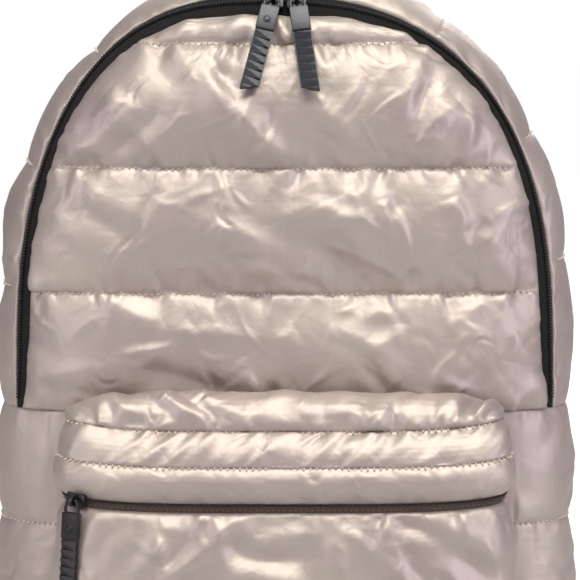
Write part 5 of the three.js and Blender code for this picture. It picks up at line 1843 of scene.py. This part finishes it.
    def haul_loop(self, finishes: Finishes) -> None:
        """Makes the haul loop: a folded band, gathered narrow and thick where it is held."""
        half, foot = self.loop_span / 2, BODY.height - 34.3
        foot_top, crown = foot + 19, BODY.height + 30.7 - 6
        rows = [(-half, foot, 0, 18, 3.4), (-half, (foot + foot_top) / 2, 0, 18, 3.4), (-half, foot_top, 0, 18, 3.4)]
        for degrees in np.linspace(170, 10, 25):
            lift = math.sin(math.radians(degrees))
            x = half * math.cos(math.radians(degrees)) * 1.02
            z = foot_top + 2 + (crown - foot_top - 2) * lift
            rows.append((x, z, 3 * lift, 18 + (11.2 - 18) * lift, 3.4 + (7 - 3.4) * lift))
        rows += [(half, foot_top, 0, 18, 3.4), (half, (foot + foot_top) / 2, 0, 18, 3.4), (half, foot, 0, 18, 3.4)]
        table = np.array(rows)
        rest = float(self.outside(np.array(half - 9), np.array(foot))) + self.gap + 1.7
        centres = np.column_stack([table[:, 0], rest + table[:, 2], table[:, 1]])
        t = np.linspace(0, len(rows) - 1, 4 * len(rows))
        centres, sizes = smooth_through(centres, t), smooth_through(table[:, 2:5], t)
        tangent = np.gradient(centres, axis=0)
        sides = unit(np.column_stack([tangent[:, 2], 0 * t, -tangent[:, 0]]))
        made = strip("haul_loop_woven", centres, sides, sizes[:, 1], sizes[:, 2], 32, 3.5)
        made.data.materials.append(finishes.webbing)
        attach(made, "bag")
        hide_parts("haul_loop")
        LOG.info("haul_loop_woven made")

    def build(self, finishes: Finishes) -> None:
        """Makes both sides and the loop."""
        for side, word in ((-1, "left"), (1, "right")):
            self.strap(side, word, finishes)
            self.webbing(side, word, finishes)
        self.haul_loop(finishes)


def smooth_through(knots: Array, t: Array) -> Array:
    """A smooth curve through knots, at places t counted in knots."""
    low = np.clip(np.floor(t).astype(int), 0, len(knots) - 2)
    share = (t - low)[:, None]
    padded = np.concatenate([2 * knots[:1] - knots[1:2], knots, 2 * knots[-1:] - knots[-2:-1]])
    a, b, c, d = padded[low], padded[low + 1], padded[low + 2], padded[low + 3]
    return 0.5 * (2 * b + (c - a) * share + (2 * a - 5 * b + 4 * c - d) * share**2 + (3 * b - a - 3 * c + d) * share**3)


def denser(points: Array, pitch: float) -> Array:
    """A polyline with a point at every pitch, rounded a little at its corners."""
    length = np.concatenate([[0], np.cumsum(np.linalg.norm(np.diff(points, axis=0), axis=1))])
    stops = np.linspace(0, length[-1], max(8, int(length[-1] / pitch)))
    line = np.stack([np.interp(stops, length, points[:, axis]) for axis in range(3)], -1)
    for _ in range(2):
        line[1:-1] = 0.25 * line[:-2] + 0.5 * line[1:-1] + 0.25 * line[2:]
    return line


@dataclass
class BottomPanel:
    """The flat base that the bag stands on."""

    thickness: float = 5.0
    seam_gap: float = 0.8

    def build(self, fabric: bpy.types.Material) -> None:
        """Makes the base from a disc drawn out to the body's plan."""
        clear_selection()
        bpy.ops.mesh.primitive_circle_add(vertices=160, radius=1, fill_type="NGON")
        base = bpy.context.object
        plan = BODY.plan_point(np.linspace(0, 360, 161)[:-1], np.full(160, BODY.bottom_seam))
        rim = plan * (1 - (LINING + self.seam_gap) / np.linalg.norm(plan[:, :2], axis=1, keepdims=True))
        for vertex, point in zip(base.data.vertices, rim):
            vertex.co = (point[0] * MM, point[1] * MM, 0)
        bpy.ops.object.mode_set(mode="EDIT")
        bpy.ops.mesh.select_all(action="SELECT")
        bpy.ops.mesh.normals_make_consistent(inside=False)
        bpy.ops.mesh.inset(thickness=0.006)
        bpy.ops.mesh.inset(thickness=0.01)
        bpy.ops.object.mode_set(mode="OBJECT")
        wall = base.modifiers.new("wall", "SOLIDIFY")
        wall.thickness = self.thickness * MM
        wall.offset = 0
        edge = base.modifiers.new("edge", "BEVEL")
        edge.width = 0.0008
        edge.segments = 2
        apply_modifiers(base)
        lowest = min(vertex.co.z for vertex in base.data.vertices)
        for vertex in base.data.vertices:
            vertex.co.z -= lowest
        finished(base, "bottom_panel_base", "bag", fabric)
        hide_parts("bottom_panel")


class Studio:
    """The pale floor, the soft lights and the camera."""

    def floor(self) -> None:
        """Makes the plain pale floor."""
        clear_selection()
        bpy.ops.mesh.primitive_circle_add(vertices=96, radius=30, fill_type="NGON", location=(0, 0, 0))
        floor = bpy.context.object
        floor.name = "floor"
        material = bpy.data.materials.new("floor")
        material.use_nodes = True
        shader = material.node_tree.nodes["Principled BSDF"]
        shader.inputs["Base Color"].default_value = (0.62, 0.62, 0.62, 1)
        shader.inputs["Roughness"].default_value = 0.9
        shader.inputs["Emission Color"].default_value = (1, 1, 1, 1)
        path = material.node_tree.nodes.new("ShaderNodeLightPath")
        glow = material.node_tree.nodes.new("ShaderNodeMath")
        glow.operation = "MULTIPLY"
        glow.inputs[1].default_value = 0.85
        material.node_tree.links.new(path.outputs["Is Camera Ray"], glow.inputs[0])
        material.node_tree.links.new(glow.outputs["Value"], shader.inputs["Emission Strength"])
        floor.data.materials.append(material)

    def lamp(self, name: str, place: Vector, target: Vector, size: tuple[float, float], power: float, colour: tuple[float, float, float]) -> None:
        """Adds one soft rectangular light.

        Args:
            name: The light's name.
            place: Where it stands.
            target: What it looks at.
            size: Its width and height.
            power: Its power in watts.
            colour: Its colour.
        """
        data = bpy.data.lights.new(name, "AREA")
        data.shape = "RECTANGLE"
        data.size, data.size_y = size
        data.energy = power
        data.color = colour
        made = bpy.data.objects.new(name, data)
        made.location = place
        made.rotation_mode = "QUATERNION"
        made.rotation_quaternion = (target - place).to_track_quat("-Z", "Y")
        bpy.context.scene.collection.objects.link(made)

    def sky(self) -> None:
        """Makes the surroundings: white to the camera and a soft grey to the bag."""
        world = bpy.data.worlds.new("studio")
        bpy.context.scene.world = world
        world.use_nodes = True
        tree = world.node_tree
        background = tree.nodes["Background"]
        background.inputs["Color"].default_value = (1.0, 0.88, 0.97, 1)
        background.inputs["Strength"].default_value = 0.25
        white = tree.nodes.new("ShaderNodeBackground")
        white.inputs["Color"].default_value = (1, 1, 1, 1)
        path = tree.nodes.new("ShaderNodeLightPath")
        mix = tree.nodes.new("ShaderNodeMixShader")
        tree.links.new(path.outputs["Is Camera Ray"], mix.inputs["Fac"])
        tree.links.new(background.outputs["Background"], mix.inputs[1])
        tree.links.new(white.outputs["Background"], mix.inputs[2])
        tree.links.new(mix.outputs["Shader"], tree.nodes["World Output"].inputs["Surface"])

    def camera(self) -> None:
        """Places the camera at the photograph's angle."""
        data = bpy.data.cameras.new("camera")
        data.lens = 179.0
        data.sensor_width = 36.0
        data.clip_end = 100
        made = bpy.data.objects.new("camera", data)
        tilt = math.radians(5.0)
        made.location = (0.0026, -1.5 * math.cos(tilt), 0.251 + 1.5 * math.sin(tilt))
        made.rotation_euler = (math.radians(90) - tilt, 0, 0)
        bpy.context.scene.collection.objects.link(made)
        bpy.context.scene.camera = made

    def build(self) -> None:
        """Builds the studio."""
        self.floor()
        self.sky()
        self.camera()
        middle = Vector((0, 0, 0.25))
        self.lamp("key", Vector((0.2, -1.0, 2.1)), middle, (2.0, 1.1), 46, (1.0, 0.98, 0.83))
        self.lamp("left", Vector((-1.5, -1.3, 0.8)), middle, (0.8, 1.3), 9, (1.0, 0.93, 0.96))
        self.lamp("right", Vector((1.6, -1.0, 0.6)), middle, (0.8, 1.3), 10, (0.98, 0.90, 1.0))
        self.lamp("rear", Vector((0.3, 1.8, 1.4)), middle, (1.4, 1.0), 20, (1.0, 0.96, 0.95))
        view = bpy.context.scene.view_settings
        view.view_transform = "Standard"
        view.look = "None"


def main() -> None:
    """Builds the backpack and its studio."""
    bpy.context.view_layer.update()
    Studio().build()
    finishes = Finishes()
    front = FrontPanel(creases=FRONT_FOLDS)
    front_panel = front.build(finishes.pearl)
    gusset = ArchGusset()
    gusset_panel = gusset.build(finishes.pearl)
    wall = LowerWall()
    wall_panel = wall.build(finishes.pearl)
    back = BackPanel()
    back_panel = back.build(finishes.pearl)
    BottomPanel().build(finishes.pearl)
    pocket = Pocket()
    panels = pocket.build(finishes.pearl)
    zipper = MainZipper()
    zipper.tape(finishes.tape)
    zipper.coil(finishes.coil)
    pocket_zipper = PocketZipper(pocket)
    pocket_zipper.build(finishes.pocket_tape, finishes.coil)
    sewing = Stitching()
    sewing.build("front_stitches", [front_panel.seam(row) for row in front.places[1:]], finishes.thread)
    sewing.build("gusset_stitches", [gusset_panel.rib(column) for column in gusset.places[1:-1]], finishes.thread)
    sewing.build("wall_stitches", [wall_panel.seam(row) for row in wall.places[1:-1]], finishes.thread)
    sewing.build("back_stitches", [back_panel.seam(row) for row in back.places[1:-1]], finishes.thread)
    sewing.build("pocket_stitches", [panels["top"].seam(0), panels["band"].seam(0)], finishes.thread, 0.7)
    # These stitches take the darker thread, which paints the lip's shade on them.
    Stitching(2.2, 2.7, 0.6).build("pocket_tape_stitches", [pocket_zipper.sewn_line()], finishes.shaded_tape_thread, 0.45)
    for pull in (Pull("left", -1, True), Pull("right", 1, False), Pull("pocket", -1, True)):
        pull.build(finishes)
    Harness(back).build(finishes)


if __name__ == "__main__":
    main()
